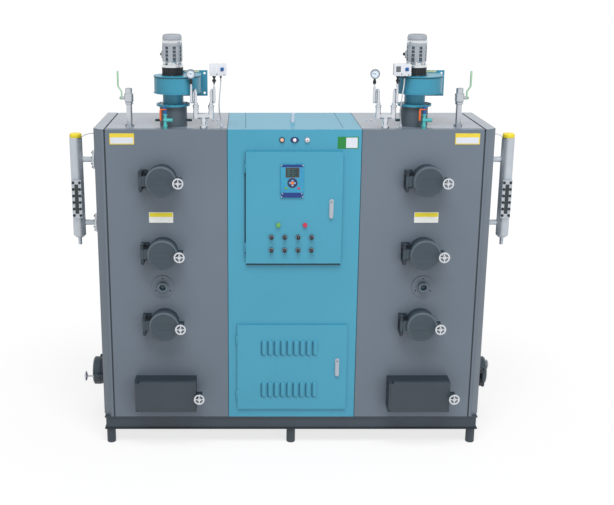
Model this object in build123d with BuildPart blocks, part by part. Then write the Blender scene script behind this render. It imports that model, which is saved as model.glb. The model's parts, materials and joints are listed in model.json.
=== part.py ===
from build123d import *
import os
from math import cos, radians, sin, tan

os.makedirs("parts", exist_ok=True)

# Twin steam boiler: two clad boiler units either side of a control cabinet, on one base.
# Millimetres. X runs to the viewer's right, Y to the back and Z up. The origin is the
# middle of the underside of the front middle foot.

# Base and cladding
BODY_WIDTH = 2380
BODY_DEPTH = 720
BODY_HEIGHT = 1840
BASE_HEIGHT = 87
CHANNEL_LIP = 9
CHANNEL_RECESS = 7
FOOT_HEIGHT = 102
FOOT_DIA = 56
FOOT_INSET = 40
FOOT_SIDE_INSET = 34
CABINET_WIDTH = 800
COVER_WIDTH = 59
COVER_FLAT = 16
COVER_BEVEL_DEPTH = 50
GROOVE_WIDTH = 9
GROOVE_DEPTH = 12
PANEL_THICK = 50

FRONT_Y = -FOOT_INSET
BACK_Y = FRONT_Y + BODY_DEPTH
MID_Y = FRONT_Y + BODY_DEPTH / 2
BASE_TOP = FOOT_HEIGHT + BASE_HEIGHT
DECK_Z = BASE_TOP + BODY_HEIGHT
SIDE_X = BODY_WIDTH / 2
CORE_X = SIDE_X - COVER_WIDTH
PANEL_X = CORE_X - GROOVE_WIDTH
SIDES = {"left": -1, "right": 1}

# Round cleaning doors
UNIT_INSET = 400
UPPER_DOOR_DROP = 296
LOWER_DOOR_RISE = 641
MIDDLE_DOOR_LIFT = 3.5
UNIT_X = SIDE_X - UNIT_INSET
UPPER_DOOR_Z = DECK_Z - UPPER_DOOR_DROP
LOWER_DOOR_Z = BASE_TOP + LOWER_DOOR_RISE
MIDDLE_DOOR_Z = (UPPER_DOOR_Z + LOWER_DOOR_Z) / 2 + MIDDLE_DOOR_LIFT
DOOR_HEIGHTS = {"upper": UPPER_DOOR_Z, "middle": MIDDLE_DOOR_Z, "lower": LOWER_DOOR_Z}
DOOR_DIA = 184
DOOR_THICK = 46
DOOR_BEVEL = 8
DOOR_RECESS_WIDTH = 92
DOOR_RECESS_HEIGHT = 40
DOOR_RECESS_DEPTH = 1.5
NECK_DIA = 178
NECK_BORE = 140
NECK_LENGTH = 62
PLUG_DIA = 122
PLUG_DEPTH = 20
SEAL_GAP = 0.5
HINGE_OFFSET = 123
HINGE_HEIGHT = 114
HINGE_BARREL = 22
HINGE_PIN = 10
HINGE_PROUD = 76
LEAF_HEIGHT = 60
LEAF_THICK = 14
KNUCKLE_GAP = 0.3
PIN_CLEARANCE = 0.05
BRACKET_THICK = 10

# Handwheels that clamp the doors
WHEEL_OFFSET = 104
WHEEL_DIA = 68
WHEEL_TUBE = 9
WHEEL_HUB = 20
WHEEL_SPOKES = 4
WHEEL_SPOKE_DIA = 6
WHEEL_PROUD = 150
SPINDLE_DIA = 12
LUG_WIDTH = 32
LUG_THICK = 24
KEEPER_THICK = 26
SPINDLE_GAP = 0.4

# Ash boxes and their doors
ASH_RISE = 182
ASH_Z = BASE_TOP + ASH_RISE
ASH_WIDTH = 382
ASH_HEIGHT = 200
ASH_WALL = 12
ASH_FRAME_LENGTH = 88
ASH_DOOR_THICK = 28
ASH_WHEEL_OFFSET = 212
ASH_EAR = 24
ASH_EAR_CLEARANCE = 5
ASH_EAR_THICK = 9
ASH_PIN = 10

# Doors in the cladding at the sides
SIDE_DOOR_RISE = 172
SIDE_DOOR_Y = MID_Y
SIDE_DOOR_Z = BASE_TOP + SIDE_DOOR_RISE

# Sight ports
SIGHT_OFFSET = 10
SIGHT_LIFT = 1.5
SIGHT_X = UNIT_X + SIGHT_OFFSET
SIGHT_Z = (LOWER_DOOR_Z + MIDDLE_DOOR_Z) / 2 + SIGHT_LIFT
SIGHT_FLANGE_DIA = 138
SIGHT_FLANGE_THICK = 5
SIGHT_RING_DIA = 59
SIGHT_BORE = 38
SIGHT_PROUD = 30
SIGHT_GLASS_DEPTH = 18

# Control cabinet doors
PANEL_DOOR_MARGIN = 111.5
PANEL_DOOR_WIDTH = CABINET_WIDTH - 2 * PANEL_DOOR_MARGIN
PANEL_DOOR_HEIGHT = 686
PANEL_DOOR_DROP = 473
PANEL_DOOR_Z = DECK_Z - PANEL_DOOR_DROP
PANEL_DOOR_THICK = 25
LOUVRE_DOOR_MARGIN = 57
LOUVRE_DOOR_WIDTH = CABINET_WIDTH - 2 * LOUVRE_DOOR_MARGIN
LOUVRE_DOOR_HEIGHT = 563
LOUVRE_DOOR_RISE = 340.5
LOUVRE_DOOR_Z = BASE_TOP + LOUVRE_DOOR_RISE
LOUVRE_DOOR_THICK = 14
POCKET_DEPTH = 300
POCKET_MARGIN = 30
CABINET_DOOR_GAP = 0.5
TRAY_WALL = 2
TRAY_RIM = 12
BARREL_DIA = 10
BARREL_LENGTH = 56
BARREL_PIN = 5
BARREL_INSET = 98
LOUVRE_COUNT = 9
LOUVRE_ROWS = (LOUVRE_DOOR_Z + 132.5, LOUVRE_DOOR_Z - 148.5)
LOUVRE_PITCH = 40
LOUVRE_CENTRE_X = -17
LOUVRE_LENGTH = 97
LOUVRE_WIDTH = 22
LOUVRE_PROUD = 9
HANDLE_WIDTH = 26
HANDLE_LENGTH = 121
HANDLE_THICK = 14
PANEL_HANDLE_INSET = 64.5
PANEL_HANDLE_LIFT = 6
PANEL_HANDLE_X = PANEL_DOOR_WIDTH / 2 - PANEL_HANDLE_INSET
PANEL_HANDLE_Z = PANEL_DOOR_Z + PANEL_HANDLE_LIFT
LOUVRE_HANDLE_INSET = 60
LOUVRE_HANDLE_LIFT = 3.5
LOUVRE_HANDLE_X = LOUVRE_DOOR_WIDTH / 2 - LOUVRE_HANDLE_INSET
LOUVRE_HANDLE_Z = LOUVRE_DOOR_Z + LOUVRE_HANDLE_LIFT

# Controls on the panel door
CONTROLS_X = -13
DISPLAY_WIDTH = 138
DISPLAY_HEIGHT = 203
DISPLAY_Z = PANEL_DOOR_Z + 169
DISPLAY_THICK = 8
BUTTON_Z = PANEL_DOOR_Z - 101
BUTTON_SPACING = 161
SELECTOR_ROWS = (PANEL_DOOR_Z - 177, PANEL_DOOR_Z - 258)
SELECTOR_SPACING = 81
SELECTOR_COLUMNS = 4
BEZEL_DIA = 30
BEZEL_THICK = 6
KNOB_DIA = 22
KNOB_LENGTH = 16
LAMP_Z = DECK_Z - 62
LAMP_SPACING = 75

# Water level columns
COLUMN_REACH = 166
COLUMN_X = SIDE_X + COLUMN_REACH
COLUMN_Y = MID_Y
COLUMN_DIA = 80
COLUMN_HEIGHT = 639
COLUMN_DROP = 110
COLUMN_TOP = DECK_Z - COLUMN_DROP
COLUMN_BOTTOM = COLUMN_TOP - COLUMN_HEIGHT
COLUMN_TAPER = 16
CAP_DIA = 82
CAP_HEIGHT = 35
DRAIN_DIA = 24
DRAIN_LENGTH = 48
BRANCH_HEIGHTS = (COLUMN_TOP - 134, COLUMN_BOTTOM + 97)
BRANCH_DIA = 35
BRANCH_FLANGE_DIA = 120
BRANCH_FLANGE_THICK = 16
GAUGE_FRAME_WIDTH = 60
GAUGE_FRAME_HEIGHT = 243
GAUGE_FRAME_Z = COLUMN_BOTTOM + 260
GAUGE_FRAME_THICK = 26
GAUGE_FRAME_FRONT = 58
GAUGE_GLASS_WIDTH = 24
GAUGE_GLASS_HEIGHT = 190
GAUGE_GLASS_DEPTH = 5
PROBE_LEAD_DIA = 7
PROBE_GLAND_DIA = 12

# Blowers on the deck
BLOWER_OFFSET = 64
BLOWER_X = UNIT_X - BLOWER_OFFSET
BLOWER_Y = FRONT_Y + 165
STAND_DIA = 164
STAND_HEIGHT = 121
STAND_PEG_DIA = 14
STAND_PEG_REACH = 110
STAND_PEG_Z = 32
INLET_FLANGE_DIA = 202
INLET_FLANGE_THICK = 13
INLET_DIA = 124
FAN_BOTTOM = DECK_Z + 198
FAN_HEIGHT = 104
FAN_PLATE = 5
FAN_RIM = 4
FAN_RADIUS = 112
FAN_STEP = 17.3
OUTLET_INNER_X = 45
OUTLET_LENGTH = 157
OUTLET_FLANGE_WIDTH = 194
OUTLET_FLANGE_HEIGHT = 156
OUTLET_FLANGE_THICK = 8
OUTLET_FLANGE_DROP = 13
OUTLET_HOLE_DIA = 14
OUTLET_HOLE_INSET = 18
OUTLET_WALL = 4
OUTLET_POCKET_DEPTH = 80
COUPLING_DIA = 126
COUPLING_HEIGHT = 46
COUPLING_RIBS = 24
COUPLING_RIB_DEPTH = 6
COUPLING_RIB_GAP = 8
MOTOR_FOOT_DIA = 128
MOTOR_FOOT_HEIGHT = 16
MOTOR_WAIST_DIA = 96
MOTOR_WAIST_HEIGHT = 20
MOTOR_BODY_DIA = 106
MOTOR_FIN_DIA = 120
MOTOR_FIN_COUNT = 20
MOTOR_FIN_THICK = 4
MOTOR_BODY_HEIGHT = 100
MOTOR_COWL_HEIGHT = 58
MOTOR_COWL_ROUND = 16
TERMINAL_ANGLE = 133
TERMINAL_REACH = 72
TERMINAL_WIDTH = 50
GLAND_REACH = 95
GLAND_DIA = 22

# Pipework on the deck
DRAIN_OFFSET = 24
DRAIN_X = UNIT_X - DRAIN_OFFSET
DRAIN_Y = FRONT_Y + 30
DRAIN_PIPE_DIA = 24
DRAIN_TOP = DECK_Z + 87
DRAIN_BRANCH_Z = DECK_Z + 51
DRAIN_BRANCH_REACH = 44
DRAIN_GLAND_DIA = 20
DRAIN_STEM_DIA = 10
DRAIN_STEM_TOP = DECK_Z + 131
DRAIN_GLAND_TOP = DECK_Z + 111
DRAIN_LEVER_Z = DECK_Z + 112
DRAIN_LEVER_THICK = 5
DRAIN_LEVER_WIDTH = 18
DRAIN_LEVER_REACH = 30
DRAIN_LEVER_DROP = 62
DRAIN_LEVER_BEND = 4
STEAM_OFFSET = 198
STEAM_X = UNIT_X + STEAM_OFFSET
STEAM_Y = FRONT_Y + 130
STEAM_PIPE_DIA = 36
STEAM_BODY_DIA = 56
STEAM_BODY_BOTTOM = DECK_Z + 145
STEAM_BODY_TOP = DECK_Z + 197
STEAM_END_DIA = 42
STEAM_END_TOP = DECK_Z + 228
STEAM_STEM_Z = DECK_Z + 170
STEAM_STEM_DIA = 10
STEAM_STEM_REACH = 56
STEAM_COLLAR_DIA = 18
STEAM_NECK = 14
STEAM_BODY_BEVEL = 3
STEAM_BORE = 28
STEAM_BORE_DEPTH = 20
STEAM_LEVER_X = 43
STEAM_LEVER_THICK = 8
STEAM_LEVER_WIDTH = 20
STEAM_LEVER_CRANK = 20
STEAM_CRANK_START = 38
STEAM_CRANK_END = 68
STEAM_LEVER_LENGTH = 160
MANIFOLD_OFFSET = 251
MANIFOLD_X = UNIT_X - MANIFOLD_OFFSET
MANIFOLD_Y = FRONT_Y + 45
MANIFOLD_RISER_DIA = 26
MANIFOLD_PIPE_DIA = 31
MANIFOLD_TEE_Z = DECK_Z + 74
MANIFOLD_ARM = 45
MANIFOLD_ARM_DIA = 28
MANIFOLD_ARM_TOP = DECK_Z + 139
MANIFOLD_SOCKET_DIA = 44
MANIFOLD_SOCKET_HEIGHT = 18
SIPHON_PIPE_DIA = 10
SIPHON_BEND = 8
SIPHON_BACK = 14
SIPHON_NUT_DIA = 20
SIPHON_NUT_TOP = DECK_Z + 153
SIPHON_LOOP_LOW = DECK_Z + 163
SIPHON_LOOP_TOP = DECK_Z + 229
SIPHON_TOP = DECK_Z + 267
GAUGE_X = -72
GAUGE_Z = DECK_Z + 317
GAUGE_DIA = 58
GAUGE_DEPTH = 26
GAUGE_FORWARD = 10
GAUGE_NUT_HEIGHT = 12
GAUGE_BEZEL = 4
SWITCH_X = 87
SWITCH_STEM_X = 64
SWITCH_WIDTH = 100
SWITCH_HEIGHT = 69
SWITCH_DEPTH = 54
SWITCH_BOTTOM = DECK_Z + 311
VENT_DIA = 24
VENT_HEIGHT = 59
VENT_Y = FRONT_Y + 300
VENT_CHAMFER = 2
DECK_GLAND_DIA = 18
DECK_GLAND_HEIGHT = 12
SWITCH_CABLE_DIA = 8
SWITCH_ROUTE = (
    (103, MANIFOLD_Y, SWITCH_BOTTOM - DECK_GLAND_HEIGHT),
    (103, MANIFOLD_Y, DECK_Z + 261),
    (95, MANIFOLD_Y + 6, DECK_Z + 196),
    (91, MANIFOLD_Y + 24, DECK_Z + 131),
    (93, MANIFOLD_Y + 55, DECK_Z + 76),
    (102, MANIFOLD_Y + 75, DECK_Z + 46),
    (102, MANIFOLD_Y + 75, DECK_Z + DECK_GLAND_HEIGHT),
)


def face_plane(x, y, z):
    """A plane that faces the front, with its own X to the right and Y up."""
    return Plane(origin=(x, y, z), x_dir=(1, 0, 0), z_dir=(0, -1, 0))


def side_plane(side, y, z):
    """A plane on the outside of a side cover, with its own Y up."""
    return Plane(origin=(side * SIDE_X, y, z), x_dir=(0, side, 0), z_dir=(side, 0, 0))


def turn(at, *points):
    """Turn a closed profile of (radius, height) points about the normal of a plane."""
    section = Plane(origin=at.origin, x_dir=at.x_dir, z_dir=-at.y_dir)
    with BuildSketch(section) as profile:
        with BuildLine():
            Polyline(*points, close=True)
        make_face()
    revolve(profile.sketch, axis=Axis(at.origin, at.z_dir))


def block(at, low, high, mode=Mode.ADD):
    """A box between two corners given in the axes of a plane."""
    with BuildSketch(at.offset(low[2])) as outline:
        with Locations(((low[0] + high[0]) / 2, (low[1] + high[1]) / 2)):
            Rectangle(high[0] - low[0], high[1] - low[1])
    extrude(outline.sketch, amount=high[2] - low[2], mode=mode)


def rod(start, end, diameter, mode=Mode.ADD):
    """A round bar between two points."""
    line = Vector(*end) - Vector(*start)
    with BuildSketch(Plane(origin=start, z_dir=line)) as outline:
        Circle(diameter / 2)
    extrude(outline.sketch, amount=line.length, mode=mode)


def tube_radii(points):
    """The largest bend radius that each corner of a lead's route leaves room for."""
    radii = []
    for before, corner, after in zip(points, points[1:], points[2:]):
        arriving = Vector(*corner) - Vector(*before)
        leaving = Vector(*after) - Vector(*corner)
        half_turn = radians(arriving.get_angle(leaving)) / 2
        radii.append(0.45 * min(arriving.length, leaving.length) / tan(half_turn))
    return radii


def save(piece, name):
    """Label a finished piece and write it to its own file."""
    piece.part.label = name
    export_step(piece.part, f"parts/{name}.step")


# Base frame: a closed skid with a channel profile all round
with BuildPart() as base_frame:
    with BuildSketch(Plane.XY.offset(FOOT_HEIGHT)):
        with Locations((0, MID_Y)):
            Rectangle(BODY_WIDTH, BODY_DEPTH)
    extrude(amount=BASE_HEIGHT)
    with BuildSketch(Plane.XY.offset(FOOT_HEIGHT + CHANNEL_LIP)):
        with Locations((0, MID_Y)):
            Rectangle(BODY_WIDTH, BODY_DEPTH)
            Rectangle(BODY_WIDTH - 2 * CHANNEL_RECESS, BODY_DEPTH - 2 * CHANNEL_RECESS, mode=Mode.SUBTRACT)
    extrude(amount=BASE_HEIGHT - 2 * CHANNEL_LIP, mode=Mode.SUBTRACT)
save(base_frame, "base_frame")

# Six round feet
FOOT_SPACING_X = SIDE_X - FOOT_SIDE_INSET
with BuildPart() as base_feet:
    with BuildSketch():
        with Locations((0, MID_Y)):
            with GridLocations(FOOT_SPACING_X, BODY_DEPTH - 2 * FOOT_INSET, 3, 2):
                Circle(FOOT_DIA / 2)
    extrude(amount=FOOT_HEIGHT)
    chamfer(base_feet.faces().sort_by(Axis.Z)[:6].edges(), 3)
save(base_feet, "base_feet")


def pocket(width, height, z):
    """Cut a door's pocket through the cabinet's front casing."""
    at = face_plane(0, FRONT_Y, z)
    inner_width = width / 2 - POCKET_MARGIN
    inner_height = height / 2 - POCKET_MARGIN
    low = (-inner_width, -inner_height, -POCKET_DEPTH)
    block(at, low, (inner_width, inner_height, 0), mode=Mode.SUBTRACT)


def barrel_heights(height, z):
    """Heights of the two barrel hinges of a cabinet door."""
    return (z + height / 2 - BARREL_INSET, z - height / 2 + BARREL_INSET)


def barrel_axis(width, thick):
    """Plan position of a cabinet door's hinge pins."""
    return (-width / 2 - BARREL_DIA / 2 - KNUCKLE_GAP, FRONT_Y - thick / 2)


def fixed_barrels(width, height, thick, z):
    """Lower knuckles, pins and leaves of a door's hinges, on the cabinet."""
    x, y = barrel_axis(width, thick)
    for middle in barrel_heights(height, z):
        low = middle - BARREL_LENGTH / 2
        rod((x, y, low), (x, y, middle - KNUCKLE_GAP), BARREL_DIA)
        rod((x, y, low), (x, y, middle + BARREL_LENGTH / 2), BARREL_PIN)
        at = Plane.XY.offset(low)
        block(at, (x - BARREL_DIA / 2, y, 0), (x, FRONT_Y, BARREL_LENGTH / 2 - KNUCKLE_GAP))


def moving_barrels(width, height, thick, z):
    """Upper knuckles of a door's hinges, joined to the edge of the door."""
    x, y = barrel_axis(width, thick)
    for middle in barrel_heights(height, z):
        high = middle + BARREL_LENGTH / 2
        rod((x, y, middle), (x, y, high), BARREL_DIA)
        at = Plane.XY.offset(middle)
        block(at, (x, y - BARREL_DIA / 2, 0), (-width / 2 + 1, y, BARREL_LENGTH / 2))
        bore = BARREL_PIN + 2 * PIN_CLEARANCE
        rod((x, y, middle - 1), (x, y, high + 1), bore, mode=Mode.SUBTRACT)


# Control cabinet between the two boiler units: the front casing, with a pocket behind each door
POCKET_BACK_Y = FRONT_Y + POCKET_DEPTH
with BuildPart() as control_cabinet:
    block(Plane.XY, (-CABINET_WIDTH / 2, FRONT_Y, BASE_TOP), (CABINET_WIDTH / 2, POCKET_BACK_Y, DECK_Z))
    pocket(PANEL_DOOR_WIDTH, PANEL_DOOR_HEIGHT, PANEL_DOOR_Z)
    pocket(LOUVRE_DOOR_WIDTH, LOUVRE_DOOR_HEIGHT, LOUVRE_DOOR_Z)
    fixed_barrels(PANEL_DOOR_WIDTH, PANEL_DOOR_HEIGHT, PANEL_DOOR_THICK, PANEL_DOOR_Z)
    fixed_barrels(LOUVRE_DOOR_WIDTH, LOUVRE_DOOR_HEIGHT, LOUVRE_DOOR_THICK, LOUVRE_DOOR_Z)
save(control_cabinet, "control_cabinet")

# Closed rear of the cabinet, which backs both pockets
with BuildPart() as cabinet_core:
    block(Plane.XY, (-CABINET_WIDTH / 2, POCKET_BACK_Y, BASE_TOP), (CABINET_WIDTH / 2, BACK_Y, DECK_Z))
save(cabinet_core, "cabinet_core")

# Boiler units behind their front panels
with BuildPart() as boiler_cores:
    for side in SIDES.values():
        near, far = sorted((side * CABINET_WIDTH / 2, side * CORE_X))
        block(Plane.XY, (near, FRONT_Y + PANEL_THICK, BASE_TOP), (far, BACK_Y, DECK_Z))
        groove = sorted((side * PANEL_X, side * CORE_X))
        low = (groove[0], FRONT_Y, DECK_Z - GROOVE_DEPTH)
        block(Plane.XY, low, (groove[1], BACK_Y, DECK_Z), mode=Mode.SUBTRACT)
save(boiler_cores, "boiler_cores")

# Front panels, pierced behind every door
with BuildPart() as front_panels:
    for side in SIDES.values():
        near, far = sorted((side * CABINET_WIDTH / 2, side * PANEL_X))
        block(Plane.XY, (near, FRONT_Y, BASE_TOP), (far, FRONT_Y + PANEL_THICK, DECK_Z))
        with BuildSketch(face_plane(0, FRONT_Y, 0)):
            for height in DOOR_HEIGHTS.values():
                with Locations((side * UNIT_X, height)):
                    Circle(NECK_BORE / 2)
            with Locations((side * UNIT_X, ASH_Z)):
                Rectangle(ASH_WIDTH - 2 * ASH_WALL, ASH_HEIGHT - 2 * ASH_WALL)
        extrude(amount=-PANEL_THICK, mode=Mode.SUBTRACT)
save(front_panels, "front_panels")

# Side covers with a bevelled front corner and the hole behind the side door
with BuildPart() as side_covers:
    for side in SIDES.values():
        with BuildSketch(Plane.XY.offset(BASE_TOP)):
            with BuildLine():
                Polyline(
                    (side * CORE_X, FRONT_Y),
                    (side * (CORE_X + COVER_FLAT), FRONT_Y),
                    (side * SIDE_X, FRONT_Y + COVER_BEVEL_DEPTH),
                    (side * SIDE_X, BACK_Y),
                    (side * CORE_X, BACK_Y),
                    close=True,
                )
            make_face()
        extrude(amount=BODY_HEIGHT)
        with BuildSketch(side_plane(side, SIDE_DOOR_Y, SIDE_DOOR_Z)):
            Circle(NECK_BORE / 2)
        extrude(amount=-COVER_WIDTH, mode=Mode.SUBTRACT)
save(side_covers, "side_covers")


def hinge_bracket(at):
    """Fixed half of a round door's hinge: two ears on a plate, with the pin between them."""
    left = -HINGE_OFFSET - HINGE_BARREL / 2
    neck_edge = -NECK_DIA / 2 + 6
    half = HINGE_HEIGHT / 2
    ear = LEAF_HEIGHT / 2 + KNUCKLE_GAP
    block(at, (left, -half, 0), (neck_edge, half, BRACKET_THICK))
    for top, bottom in ((half, ear), (-ear, -half)):
        block(at, (left, bottom, 0), (-HINGE_OFFSET + HINGE_BARREL / 2, top, HINGE_PROUD))
        start = at.from_local_coords((-HINGE_OFFSET, bottom, HINGE_PROUD))
        end = at.from_local_coords((-HINGE_OFFSET, top, HINGE_PROUD))
        rod(start, end, HINGE_BARREL)
    start = at.from_local_coords((-HINGE_OFFSET, -half - 4, HINGE_PROUD))
    end = at.from_local_coords((-HINGE_OFFSET, half + 4, HINGE_PROUD))
    rod(start, end, HINGE_PIN)


def keeper(at, inner, offset, top):
    """Fixed lug that a handwheel's spindle presses on."""
    block(at, (inner, -LUG_WIDTH / 2, top - KEEPER_THICK), (offset + LUG_WIDTH / 2, LUG_WIDTH / 2, top))


def door_neck(at):
    """Round neck that stands out of the cladding, with its hinge bracket and keeper."""
    with BuildSketch(at) as outline:
        Circle(NECK_DIA / 2)
    extrude(outline.sketch, amount=NECK_LENGTH)
    hinge_bracket(at)
    keeper(at, NECK_DIA / 2 - 6, WHEEL_OFFSET, NECK_LENGTH)
    with BuildSketch(at) as bore:
        Circle(NECK_BORE / 2)
    extrude(bore.sketch, amount=NECK_LENGTH, mode=Mode.SUBTRACT)


def door_lug(at, inner, offset, low):
    """Lug on a door that carries its handwheel's spindle."""
    half = LUG_WIDTH / 2
    block(at, (inner, -half, low), (offset, half, low + LUG_THICK))
    with BuildSketch(at.offset(low)) as eye:
        with Locations((offset, 0)):
            Circle(half)
    extrude(eye.sketch, amount=LUG_THICK)
    with BuildSketch(at.offset(low)) as bore:
        with Locations((offset, 0)):
            Circle(SPINDLE_DIA / 2 + PIN_CLEARANCE)
    extrude(bore.sketch, amount=LUG_THICK, mode=Mode.SUBTRACT)


def round_door(at):
    """Round door: bevelled cap with a plug behind it, a hinge leaf and a clamp lug."""
    back = NECK_LENGTH + SEAL_GAP
    front = back + DOOR_THICK
    radius = DOOR_DIA / 2
    turn(
        at,
        (0, back - PLUG_DEPTH),
        (PLUG_DIA / 2, back - PLUG_DEPTH),
        (PLUG_DIA / 2, back),
        (radius, back),
        (radius, front - DOOR_BEVEL),
        (radius - DOOR_BEVEL, front),
        (0, front),
    )
    leaf_low = HINGE_PROUD - LEAF_THICK / 2
    half = LEAF_HEIGHT / 2
    block(at, (-HINGE_OFFSET, -half, leaf_low), (-radius + 12, half, leaf_low + LEAF_THICK))
    start = at.from_local_coords((-HINGE_OFFSET, -half, HINGE_PROUD))
    end = at.from_local_coords((-HINGE_OFFSET, half, HINGE_PROUD))
    rod(start, end, HINGE_BARREL)
    rod(start, end, HINGE_PIN + 2 * PIN_CLEARANCE, mode=Mode.SUBTRACT)
    door_lug(at, radius - 6, WHEEL_OFFSET, NECK_LENGTH + SPINDLE_GAP + 6)
    recess_low = (-DOOR_RECESS_WIDTH / 2, -DOOR_RECESS_HEIGHT / 2, front - DOOR_RECESS_DEPTH)
    block(at, recess_low, (DOOR_RECESS_WIDTH / 2, DOOR_RECESS_HEIGHT / 2, front), mode=Mode.SUBTRACT)


def handwheel(at, offset, spindle_end):
    """Spoked handwheel with its clamping spindle."""
    middle = at.from_local_coords((offset, 0, WHEEL_PROUD))
    wheel_plane = Plane(origin=middle, x_dir=at.x_dir, z_dir=at.z_dir)
    rim_radius = (WHEEL_DIA - WHEEL_TUBE) / 2
    section = Plane(origin=middle, x_dir=at.x_dir, z_dir=-at.y_dir)
    with BuildSketch(section) as rim:
        with Locations((rim_radius, 0)):
            Circle(WHEEL_TUBE / 2)
    revolve(rim.sketch, axis=Axis(wheel_plane.origin, wheel_plane.z_dir))
    turn(
        wheel_plane,
        (0, spindle_end - WHEEL_PROUD),
        (SPINDLE_DIA / 2, spindle_end - WHEEL_PROUD),
        (SPINDLE_DIA / 2, -WHEEL_HUB / 2),
        (WHEEL_HUB / 2, -WHEEL_HUB / 2),
        (WHEEL_HUB / 2, WHEEL_HUB / 4),
        (WHEEL_HUB / 4, WHEEL_HUB / 2),
        (0, WHEEL_HUB / 2),
    )
    for index in range(WHEEL_SPOKES):
        angle = radians(45 + index * 360 / WHEEL_SPOKES)
        tip = (rim_radius * cos(angle), rim_radius * sin(angle), 0)
        rod(middle, wheel_plane.from_local_coords(tip), WHEEL_SPOKE_DIA)


# Necks of the round doors on the front panels and on the side covers
with BuildPart() as door_necks:
    for side in SIDES.values():
        for height in DOOR_HEIGHTS.values():
            door_neck(face_plane(side * UNIT_X, FRONT_Y, height))
        door_neck(side_plane(side, SIDE_DOOR_Y, SIDE_DOOR_Z))
save(door_necks, "door_necks")

# Round doors and their handwheels
DOOR_PLANES = {
    f"{level}_door_{name}": face_plane(side * UNIT_X, FRONT_Y, height)
    for name, side in SIDES.items()
    for level, height in DOOR_HEIGHTS.items()
}
DOOR_PLANES["side_door_left"] = side_plane(-1, SIDE_DOOR_Y, SIDE_DOOR_Z)
DOOR_PLANES["side_door_right"] = side_plane(1, SIDE_DOOR_Y, SIDE_DOOR_Z)
for name, at in DOOR_PLANES.items():
    with BuildPart() as door:
        round_door(at)
    save(door, name)
    with BuildPart() as wheel:
        handwheel(at, WHEEL_OFFSET, NECK_LENGTH + SPINDLE_GAP)
    save(wheel, name.replace("door", "handwheel"))

# Ash boxes: open frames on the front panels, with ears that hold the door's pins
ASH_PIN_X = -ASH_WIDTH / 2 + ASH_DOOR_THICK / 2 - 2
ASH_PIN_PROUD = ASH_FRAME_LENGTH + SEAL_GAP + ASH_DOOR_THICK / 2
with BuildPart() as ash_frames:
    for side in SIDES.values():
        at = face_plane(side * UNIT_X, FRONT_Y, ASH_Z)
        wide = ASH_WIDTH / 2
        high = ASH_HEIGHT / 2
        with BuildSketch(at):
            Rectangle(ASH_WIDTH, ASH_HEIGHT)
            Rectangle(ASH_WIDTH - 2 * ASH_WALL, ASH_HEIGHT - 2 * ASH_WALL, mode=Mode.SUBTRACT)
        extrude(amount=ASH_FRAME_LENGTH)
        for low, top in ((high - ASH_EAR_THICK, high), (-high, -high + ASH_EAR_THICK)):
            ear_low = (ASH_PIN_X - ASH_EAR / 2, low, ASH_FRAME_LENGTH)
            block(at, ear_low, (ASH_PIN_X + ASH_EAR / 2, top, ASH_PIN_PROUD))
            start = at.from_local_coords((ASH_PIN_X, low, ASH_PIN_PROUD))
            end = at.from_local_coords((ASH_PIN_X, top, ASH_PIN_PROUD))
            rod(start, end, ASH_EAR)
        for low, top in ((high - 2 * ASH_EAR_THICK, high), (-high, -high + 2 * ASH_EAR_THICK)):
            start = at.from_local_coords((ASH_PIN_X, low, ASH_PIN_PROUD))
            end = at.from_local_coords((ASH_PIN_X, top, ASH_PIN_PROUD))
            rod(start, end, ASH_PIN)
        keeper(at, wide, ASH_WHEEL_OFFSET, ASH_FRAME_LENGTH)
save(ash_frames, "ash_frames")

# Ash doors, with a rounded hinge edge notched round the frame's ears
for name, side in SIDES.items():
    at = face_plane(side * UNIT_X, FRONT_Y, ASH_Z)
    back = ASH_FRAME_LENGTH + SEAL_GAP
    front = back + ASH_DOOR_THICK
    high = ASH_HEIGHT / 2
    with BuildPart() as ash_door:
        block(at, (ASH_PIN_X, -high, back), (ASH_WIDTH / 2, high, front))
        start = at.from_local_coords((ASH_PIN_X, -high, ASH_PIN_PROUD))
        end = at.from_local_coords((ASH_PIN_X, high, ASH_PIN_PROUD))
        rod(start, end, 2 * (ASH_PIN_X + ASH_WIDTH / 2))
        notch = ASH_PIN_X + ASH_WIDTH / 2 + ASH_EAR / 2 + ASH_EAR_CLEARANCE
        ear = ASH_EAR_THICK + KNUCKLE_GAP
        for low, top in ((high - ear, high), (-high, -high + ear)):
            notch_high = (-ASH_WIDTH / 2 + notch, top, front)
            block(at, (-ASH_WIDTH / 2, low, back), notch_high, mode=Mode.SUBTRACT)
        rod(start, end, ASH_PIN + 2 * PIN_CLEARANCE, mode=Mode.SUBTRACT)
        door_lug(at, ASH_WIDTH / 2 - 6, ASH_WHEEL_OFFSET, back)
    save(ash_door, f"ash_door_{name}")
    with BuildPart() as ash_handwheel:
        handwheel(at, ASH_WHEEL_OFFSET, ASH_FRAME_LENGTH + SPINDLE_GAP)
    save(ash_handwheel, f"ash_handwheel_{name}")

# Sight ports
with BuildPart() as sight_ports:
    for side in SIDES.values():
        turn(
            face_plane(side * SIGHT_X, FRONT_Y, SIGHT_Z),
            (0, 0),
            (SIGHT_FLANGE_DIA / 2, 0),
            (SIGHT_FLANGE_DIA / 2, SIGHT_FLANGE_THICK),
            (SIGHT_RING_DIA / 2, SIGHT_FLANGE_THICK),
            (SIGHT_RING_DIA / 2, SIGHT_PROUD),
            (SIGHT_BORE / 2, SIGHT_PROUD),
            (SIGHT_BORE / 2, SIGHT_PROUD - SIGHT_GLASS_DEPTH),
            (0, SIGHT_PROUD - SIGHT_GLASS_DEPTH),
        )
save(sight_ports, "sight_ports")


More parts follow.
